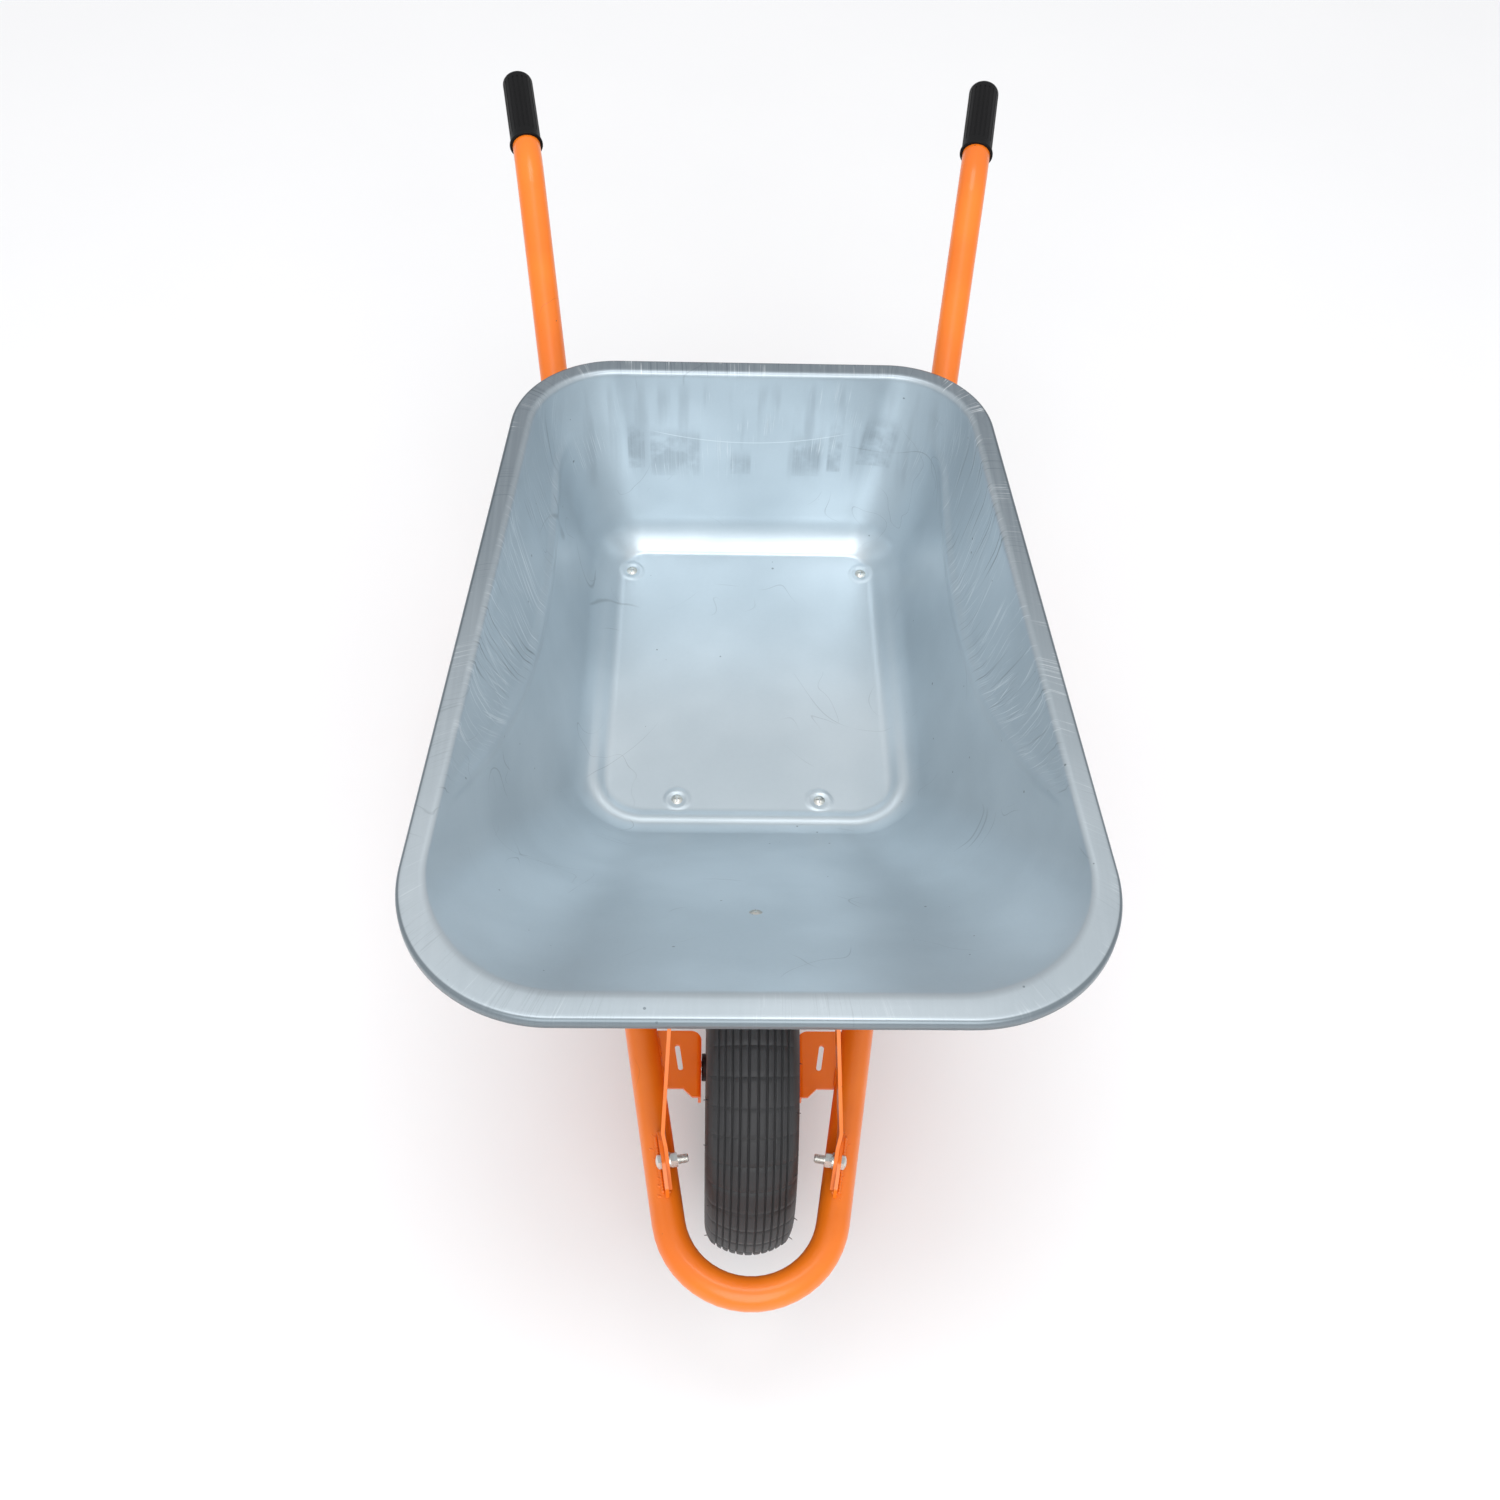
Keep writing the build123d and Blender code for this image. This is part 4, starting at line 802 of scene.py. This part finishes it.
def addTrayMaps(piece, lip, distances, zones, rings):
    # distance round the rim and up the wall, and where the lip, upper sides and rear wall are
    steps = np.linalg.norm(lip - np.roll(lip, 1, axis=0), axis=1)
    steps[0] = 0.0
    gone = np.cumsum(steps)
    nearer = np.minimum(gone, gone[-1] - gone)    # both sides run forwards from the rear
    leftSide = (lip[:, 0] < 0).astype(np.float32)
    mesh = piece.data
    place = np.zeros((len(mesh.vertices), 3), np.float32)
    zone = np.zeros((len(mesh.vertices), 3), np.float32)
    count = len(lip)
    rearward = smoothStep(lip[:, 1], *trayZones["rearFrom"])
    # the lip's weight rises towards the rear so the finish paints the rear lip darker: painted
    # shade mixed with lip wear
    least = trayZones["lipLeast"]
    lipShare = least + (1 - least) * smoothStep(lip[:, 1], *trayZones["lipFrom"])
    low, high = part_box("tray")
    for index, ring in enumerate(rings):
        here = slice(index * count, (index + 1) * count)
        place[here, 0] = nearer
        place[here, 2] = leftSide
        place[here, 1] = distances[index]
        onLip, upper = zones[index]
        zone[here, 0] = onLip * lipShare
        zone[here, 1] = upper
        share = (ring[:, 2] - low.z) / (high.z - low.z)
        band = smoothStep(share, *trayZones["bandLow"])
        band = band * smoothStep(1 - share, *trayZones["bandHigh"])
        zone[here, 2] = rearward * band * smoothStep(ring[:, 1], *trayZones["wallFrom"])
    for name, values in (("sheetMap", place), ("sheetZone", zone)):
        attribute = mesh.attributes.new(name, "FLOAT_VECTOR", "POINT")
        attribute.data.foreach_set("vector", values.ravel())
    edge = np.zeros(len(mesh.vertices), np.float32)
    rolled = tray["rolledRings"] * count
    edge[len(rings) * count - rolled:len(rings) * count] = 1.0
    attribute = mesh.attributes.new("sheetEdge", "FLOAT", "POINT")
    attribute.data.foreach_set("value", edge)


makeTray()
print("tray made")


tyre = {
    "crownRadius": 0.062, "shoulder": 0.037, "grooves": (0.0044, 0.0124, 0.0196, 0.0262, 0.0322),
    "grooveHalf": 0.0009, "grooveDeep": 0.0024, "grooveSlope": 0.0003,
    "chamfer": 0.0004, "chamferDeep": (0.0001, 0.0006), "innerRadius": 0.1755,
    "sectors": 40, "notchDeep": 0.0005, "notchTurn": 0.16, "sideNotch": (0.163, 0.6),
    "side": ((0.0405, 0.1660), (0.0432, 0.1580), (0.0438, 0.1480), (0.0430, 0.1370),
             (0.0405, 0.1260), (0.0370, 0.1170), (0.0345, 0.1125), (0.0335, 0.1060),
             (0.0310, 0.1025)),
    "inside": ((0.0270, 0.1040), (0.0290, 0.1180), (0.0360, 0.1400), (0.0350, 0.1580),
               (0.0200, 0.1720))}


def smoothPath(points, steps):
    # a smooth line through the given points
    points = [np.array(p) for p in points]
    made = []
    for index in range(len(points) - 1):
        before = points[max(index - 1, 0)]
        first, last = points[index], points[index + 1]
        after = points[min(index + 2, len(points) - 1)]
        for step in range(steps):
            t = step / steps
            made.append(0.5 * (2 * first + (last - before) * t
                               + (2 * before - 5 * first + 4 * last - after) * t * t
                               + (3 * first - before - 3 * last + after) * t ** 3))
    made.append(points[-1])
    return made


def tyreProfile(radius):
    # (across, out, how much a mould notch bites), from the middle of the tread to the bead
    curve = tyre["crownRadius"]

    def crown(x):
        return radius - curve + math.sqrt(curve * curve - x * x)

    half, deep, slope = tyre["grooveHalf"], tyre["grooveDeep"], tyre["grooveSlope"]
    chamfer, (soft, sharp) = tyre["chamfer"], tyre["chamferDeep"]
    made = [(0.0, crown(0.0), 1.0)]
    for groove in tyre["grooves"]:
        start, stop = groove - half, groove + half
        previous = made[-1][0]
        for share in (0.35, 0.7):
            x = previous + (start - chamfer - previous) * share
            made.append((x, crown(x), 1.0))
        made += [(start - chamfer, crown(start) - soft, 1.0), (start, crown(start) - sharp, 0.0),
                 (start + slope, crown(start) - deep, 0.0),
                 (stop - slope, crown(groove) - deep, 0.0),
                 (stop, crown(groove) - sharp, 0.0), (stop + chamfer, crown(stop) - soft, 1.0)]
    edge = tyre["shoulder"]
    made.append((edge - 0.002, crown(edge - 0.002), 1.0))
    side = smoothPath(((edge, crown(edge)),) + tyre["side"], 4)
    above, bite = tyre["sideNotch"]
    made += [(x, r, bite if r > above else 0.0) for x, r in side]
    made += [(x, r, 0.0) for x, r in smoothPath(tyre["inside"], 2)]
    return made


def makeTyre():
    low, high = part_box("tyre")
    middle = (low + high) / 2
    radius = (high.z - low.z) / 2
    right = tyreProfile(radius)
    left = [(-x, r, bite) for x, r, bite in reversed(right[1:])]
    profile = right + [(0.0, tyre["innerRadius"], 0.0)] + left
    turns = []
    sector = 360 / tyre["sectors"]
    notch = tyre["notchTurn"]
    for index in range(tyre["sectors"]):
        start = index * sector
        turns += [(start, 0.0), (start + notch, 1.0), (start + 2 * notch, 1.0),
                  (start + 3 * notch, 0.0)]
        turns += [(start + 3 * notch + (sector - 3 * notch) * k / 5, 0.0) for k in range(1, 5)]
    points = []
    for turn, bite in turns:
        for x, r, share in profile:
            out = r - bite * share * tyre["notchDeep"]
            y, z = out * math.sin(turn * degree), out * math.cos(turn * degree)
            points.append((middle.x + x, middle.y + y, middle.z + z))
    count = len(profile)
    faces = ringFaces(len(turns), count)
    last = (len(turns) - 1) * count
    for step in range(count):
        following = (step + 1) % count
        faces.append((last + step, last + following, following, step))
    piece = newPiece("tyreCarcass", points, faces, "tyre_rubber", "wheel")
    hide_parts("tyre")
    return middle


ventHairs = {
    "number": 34, "across": (0.0385, 0.0425), "out": (0.1655, 0.159), "shoulder": 0.0405,
    "long": (0.0025, 0.0062), "thick": ((0.0, 0.0006), (0.5, 0.0005), (1.0, 0.0003)),
    "sides": 6, "seed": 7, "sunk": 0.001}


def makeVentHairs(middle):
    # moulding hairs that were never trimmed off the shoulders
    draw = random.Random(ventHairs["seed"])
    points, faces = [], []
    sides, amount = ventHairs["sides"], ventHairs["number"]
    for index in range(amount):
        angle = (index * 360 / amount + draw.uniform(-4, 4)) * degree
        side = -1 if index % 2 else 1
        x = side * draw.uniform(*ventHairs["across"])
        out = ventHairs["out"][0 if abs(x) < ventHairs["shoulder"] else 1]
        way = unit(np.array([side * 1.0, draw.uniform(-0.2, 0.6), draw.uniform(-0.3, 0.3)]))
        length = draw.uniform(*ventHairs["long"])
        root = np.array([x - side * ventHairs["sunk"], out, 0.0])
        lean = np.array([0.0, draw.uniform(-0.3, 0.3), draw.uniform(-0.4, 0.4)])
        across = unit(np.cross(way, (0.0, 0.0, 1.0)))
        other = np.cross(way, across)
        begin = len(points)
        for share, thick in ventHairs["thick"]:
            spot = root + way * length * share + lean * length * share * share
            for k in range(sides):
                turn = k * 2 * math.pi / sides
                p = spot + (across * math.cos(turn) + other * math.sin(turn)) * thick
                y = p[1] * math.sin(angle) + p[2] * math.cos(angle)
                z = p[1] * math.cos(angle) - p[2] * math.sin(angle)
                points.append((middle.x + p[0], middle.y + y, middle.z + z))
        faces += ringFaces(3, sides, start=begin)
        faces.append(tuple(begin + 2 * sides + k for k in range(sides)))
        faces.append(tuple(begin + k for k in reversed(range(sides))))
    newPiece("tyreVentHairs", points, faces, "tyre_rubber", "wheel")


makeVentHairs(makeTyre())
print("tyre made")


frameTube = {"radius": 0.016, "level": 0.218, "splay": 9.1, "armX": 0.078, "armY": -0.5915}
weld = {
    "radius": 0.0021, "pitch": 0.0030, "step": 0.0008, "sides": 8, "seed": 3, "uneven": 0.18,
    "legGap": 0.0006, "footEnd": 0.006, "footUp": 0.0012, "footSide": 0.0065,
    "bracketIn": 0.0004, "bracketUp": (0.0007, -0.0037), "bracketShares": (0.16, 0.60, 0.30),
    "tabMiddle": -0.0016, "tabSides": 0.0030, "tabEnd": 0.004, "tabUp": 0.0002,
    "plateHalf": 0.009, "plateBend": 20}
legs = {"radius": 0.0125, "frontY": -0.012, "heel": (0.083, 0.0156), "toe": (0.193, 0.0156),
        "topY": 0.206, "rise": ((0.123, 0.218), (0.532, 0.573))}


def armX(y):
    return frameTube["armX"] + (y - frameTube["armY"]) * math.tan(frameTube["splay"] * degree)


def armPoint(y, z=frameTube["level"]):
    return np.array([armX(y), y, z])


def spaced(path, step):
    path = np.array(path, float)
    lengths = np.concatenate([[0], np.cumsum(np.linalg.norm(np.diff(path, axis=0), axis=1))])
    wanted = np.linspace(0, lengths[-1], max(4, int(lengths[-1] / step)))
    return np.column_stack([np.interp(wanted, lengths, path[:, k]) for k in range(3)]), wanted


def beadMesh(path, radius, pitch, draw, step=weld["step"], uneven=weld["uneven"]):
    # a round bead along a path, its thickness rising and falling as a weld's ripples do
    spots, at = spaced(path, step)
    ways = unit(np.gradient(spots, axis=0))
    points = []
    sides = weld["sides"]
    shift = draw.uniform(0, pitch)
    for index, (spot, way) in enumerate(zip(spots, ways)):
        guide = np.array([0.0, 0.0, 1.0]) if abs(way[2]) < 0.9 else np.array([1.0, 0.0, 0.0])
        across = unit(np.cross(way, guide))
        other = np.cross(way, across)
        ends = min(index, len(spots) - 1 - index) / 2.5
        thick = radius * min(1.0, 0.25 + ends) * (1 - uneven + uneven * math.cos(
            2 * math.pi * (at[index] + shift) / pitch) + draw.uniform(-0.05, 0.05))
        for k in range(sides):
            turn = 2 * math.pi * k / sides
            points.append(spot + (across * math.cos(turn) + other * math.sin(turn)) * thick)
    faces = ringFaces(len(spots), sides)
    faces.append(tuple(reversed(range(sides))))
    faces.append(tuple((len(spots) - 1) * sides + k for k in range(sides)))
    return points, faces


def beadPiece(name, paths, slot, radius, pitch, seed, **settings):
    draw = random.Random(seed)
    points, faces = [], []
    for path in paths:
        more, quads = beadMesh(path, radius, pitch, draw, **settings)
        faces += [tuple(index + len(points) for index in face) for face in quads]
        points += more
    newPiece(name, points, faces, slot, "barrow")


def mirroredPaths(paths):
    return paths + [[(-p[0], p[1], p[2]) for p in path] for path in paths]


def jointRing(start, way, radius, tubePoint, tubeWay, tubeRadius):
    # where a round leg meets the round tube above it
    way, tubeWay = unit(np.array(way)), unit(np.array(tubeWay))
    across = unit(np.cross(way, tubeWay))
    other = np.cross(way, across)
    ring = []
    for step in range(49):
        turn = step * 2 * math.pi / 48
        base = start + (across * math.cos(turn) + other * math.sin(turn)) * radius
        gap = base - tubePoint
        gap = gap - gap @ tubeWay * tubeWay
        slip = way - way @ tubeWay * tubeWay
        b, c = gap @ slip, gap @ gap - tubeRadius ** 2
        ring.append(base + way * (-b + math.sqrt(max(b * b - slip @ slip * c, 0))) / (slip @ slip))
    return ring


def legWelds():
    heel, toe = (armPoint(*legs[key]) for key in ("heel", "toe"))
    front = armPoint(legs["frontY"])
    level = armPoint(0.1) - armPoint(0.0)
    low, high = (armPoint(*point) for point in legs["rise"])
    top = low + (high - low) * (legs["topY"] - low[1]) / (high[1] - low[1])
    bead, tube = legs["radius"] + weld["legGap"], frameTube["radius"]
    rings = [jointRing(front, heel - front, bead, front, level, tube),
             jointRing(top, toe - top, bead, top, high - low, tube)]
    low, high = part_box("foot_plate_right")
    for side in (-1, 1):
        off = np.array([side * weld["footSide"], 0, 0])
        ys = (low.y + weld["footEnd"], high.y - weld["footEnd"])
        rings.append([armPoint(y, high.z + weld["footUp"]) + off for y in ys])
    return rings


def bracketWelds():
    # stitches along the tube's inner side, above and below the bracket's plate
    low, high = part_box("axle_bracket_right")
    inner = frameTube["radius"] - weld["bracketIn"]
    *starts, share = weld["bracketShares"]
    stitches = []
    length = high.y - low.y
    for up in weld["bracketUp"]:
        for start in starts:
            ys = np.linspace(low.y + length * start, low.y + length * (start + share), 8)
            stitches.append([armPoint(y, high.z + up) - np.array([inner, 0, 0]) for y in ys])
    return stitches


def tabWelds():
    low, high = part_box("strut_tab_right")
    beads = []
    for side in (-1, 1):
        off = weld["tabMiddle"] + side * weld["tabSides"]
        z = frameTube["level"] + math.sqrt(frameTube["radius"] ** 2 - off ** 2)
        ys = np.linspace(low.y + weld["tabEnd"], high.y - weld["tabEnd"], 12)
        beads.append([armPoint(y, z + weld["tabUp"]) + np.array([off, 0, 0]) for y in ys])
    return beads


def plateWelds():
    low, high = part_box("front_cross_plate")
    beads = []
    for y in (low.y, high.y):
        xs = np.linspace(-weld["plateHalf"], weld["plateHalf"], 7)
        beads.append([armPoint(y, low.z - 0.0002 - x * x * weld["plateBend"]) + np.array([x, 0, 0])
                      for x in xs])
    return beads


def makeWelds():
    paths = mirroredPaths(legWelds() + bracketWelds() + tabWelds() + plateWelds())
    beadPiece("weldBeads", paths, "orange_paint", weld["radius"], weld["pitch"], weld["seed"])


paintRuns = {
    "firstY": -0.5715, "apart": 0.0098, "shift": 0.003, "number": 7, "sunk": 0.0002,
    "start": (0.02, 0.30), "turn": (0.10, 0.42), "radius": 0.0013, "pitch": 0.009,
    "seeds": (11, 5)}


def makePaintRuns():
    # drips of paint that gathered below the tabs before it dried
    draw = random.Random(paintRuns["seeds"][0])
    radius = frameTube["radius"] - paintRuns["sunk"]
    shift = paintRuns["shift"]
    runs = []
    for side in (-1, 1):
        for index in range(paintRuns["number"]):
            y = paintRuns["firstY"] + index * paintRuns["apart"] + draw.uniform(-shift, shift)
            start, length = draw.uniform(*paintRuns["start"]), draw.uniform(*paintRuns["turn"])
            path = []
            for step in range(6):
                turn = start + length * step / 5
                path.append(np.array([
                    side * (armX(y) + radius * math.sin(turn)), y + 0.0006 * step,
                    frameTube["level"] + radius * math.cos(turn)]))
            runs.append(path)
    beadPiece("paintRuns", runs, "orange_paint", paintRuns["radius"], paintRuns["pitch"],
              paintRuns["seeds"][1], uneven=0.3)


thread = {"pitch": 0.00125, "radius": 0.00385, "long": 0.0085, "fromHead": 0.0305, "bead": 0.00042,
          "headHalf": 0.0015, "sides": 16, "seed": 9}


def makeThreads():
    # the rolled thread on the ends of the strap bolts, beyond their nuts
    low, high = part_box("strap_bolts")
    lean = frameTube["splay"] * degree
    outward = np.array([math.cos(lean), -math.sin(lean), 0.0])
    side, up = np.array([math.sin(lean), math.cos(lean), 0.0]), np.array([0.0, 0.0, 1.0])
    head = np.array([high.x, (low.y + high.y) / 2 - thread["headHalf"], (low.z + high.z) / 2])
    end = head - outward * thread["fromHead"]
    sides, path = thread["sides"], []
    for step in range(int(thread["long"] / thread["pitch"] * sides)):
        turn = step * 2 * math.pi / sides
        spoke = (side * math.cos(turn) + up * math.sin(turn)) * thread["radius"]
        path.append(end + outward * (step / sides * thread["pitch"]) + spoke)
    beadPiece("strapBoltThreads", mirroredPaths([path]), "zinc_fasteners", thread["bead"], 1.0,
              thread["seed"], step=0.0010, uneven=0.0)


makeWelds()
makePaintRuns()
makeThreads()
print("welds, paint runs and threads made")


room = {
    "floor": (0.93, 0.93, 0.935, 1), "floorDark": (0.9, 0.9, 0.91, 1), "reach": 9.0,
    "low": (0.60, 0.61, 0.63, 1), "high": (1.0, 1.0, 1.0, 1), "sky": 1.0, "rearDim": 0.25,
    "overhead": 15.0, "overheadSize": 1.5, "overheadAt": (0, 0.05, 3.2),
    "front": 74.0, "frontSize": 3.6, "frontAt": (0, -3.4, 3.0), "aim": (0, 0, 0.3)}


def makeRoom():
    reach = room["reach"]
    mesh = bpy.data.meshes.new("studioFloor")
    corners = [(-reach, -reach, 0), (reach, -reach, 0), (reach, reach, 0), (-reach, reach, 0)]
    mesh.from_pydata(corners, [], [(0, 1, 2, 3)])
    floor = bpy.data.objects.new("studioFloor", mesh)
    bpy.context.scene.collection.objects.link(floor)
    material, tree, shader, place = newFinish("paleFloor")
    speckle = noiseValue(tree, place, 3.0, 3.0)
    colour = mixColour(tree, speckle, room["floor"], room["floorDark"])
    setInput(tree, shader, "Base Color", colour)
    setInput(tree, shader, "Roughness", 0.8)
    mesh.materials.append(material)


def makeSky():
    # bright overhead, a little dimmer and cooler towards the horizon
    world = bpy.data.worlds.new("studioSky")
    bpy.context.scene.world = world
    world.use_nodes = True
    tree = world.node_tree
    back = tree.nodes["Background"]
    place = addNode(tree, "ShaderNodeTexCoord").outputs["Generated"]
    height = splitVector(tree, place)["Z"]
    ramp = addNode(tree, "ShaderNodeValToRGB")
    setInput(tree, ramp, 0, timesPlus(tree, height, 0.5, 0.5))
    stops = ramp.color_ramp.elements
    stops[0].position, stops[0].color = 0.5, room["low"]
    stops[1].position, stops[1].color = 1.0, room["high"]
    tree.links.new(ramp.outputs[0], back.inputs["Color"])
    toRear = timesPlus(tree, splitVector(tree, place)["Y"], -room["rearDim"], 1.0)
    setInput(tree, back, "Strength", times(tree, toRear, room["sky"]))


def areaLight(name, place, size, power):
    data = bpy.data.lights.new(name, "AREA")
    data.shape, data.size, data.energy = "DISK", size, power
    lamp = bpy.data.objects.new(name, data)
    bpy.context.scene.collection.objects.link(lamp)
    lamp.location = place
    lamp.rotation_mode = "QUATERNION"
    lamp.rotation_quaternion = (Vector(place) - Vector(room["aim"])).to_track_quat("Z", "Y")


view = {"place": (-0.0489, -1.1291, 1.7728), "turnRight": 2.75, "lookDown": 55.06, "roll": 2.84,
        "lens": 40.1}


def makeCamera():
    turn, down, roll = (view[key] * degree for key in ("turnRight", "lookDown", "roll"))
    flat = math.cos(down)
    ahead = Vector((math.sin(turn) * flat, math.cos(turn) * flat, -math.sin(down)))
    right = Vector((math.cos(turn), -math.sin(turn), 0))
    above = right.cross(ahead)
    tiltedRight = math.cos(roll) * right + math.sin(roll) * above
    tiltedUp = math.cos(roll) * above - math.sin(roll) * right
    data = bpy.data.cameras.new("mainCamera")
    data.lens, data.sensor_width = view["lens"], 36.0
    camera = bpy.data.objects.new("mainCamera", data)
    bpy.context.scene.collection.objects.link(camera)
    turned = Matrix((tiltedRight, tiltedUp, -ahead)).transposed().to_4x4()
    camera.matrix_world = Matrix.Translation(view["place"]) @ turned
    bpy.context.scene.camera = camera


makeRoom()
makeSky()
areaLight("overheadSoftbox", room["overheadAt"], room["overheadSize"], room["overhead"])
areaLight("frontSoftbox", room["frontAt"], room["frontSize"], room["front"])
makeCamera()
bpy.context.scene.view_settings.view_transform = "Standard"
print("room and camera set")
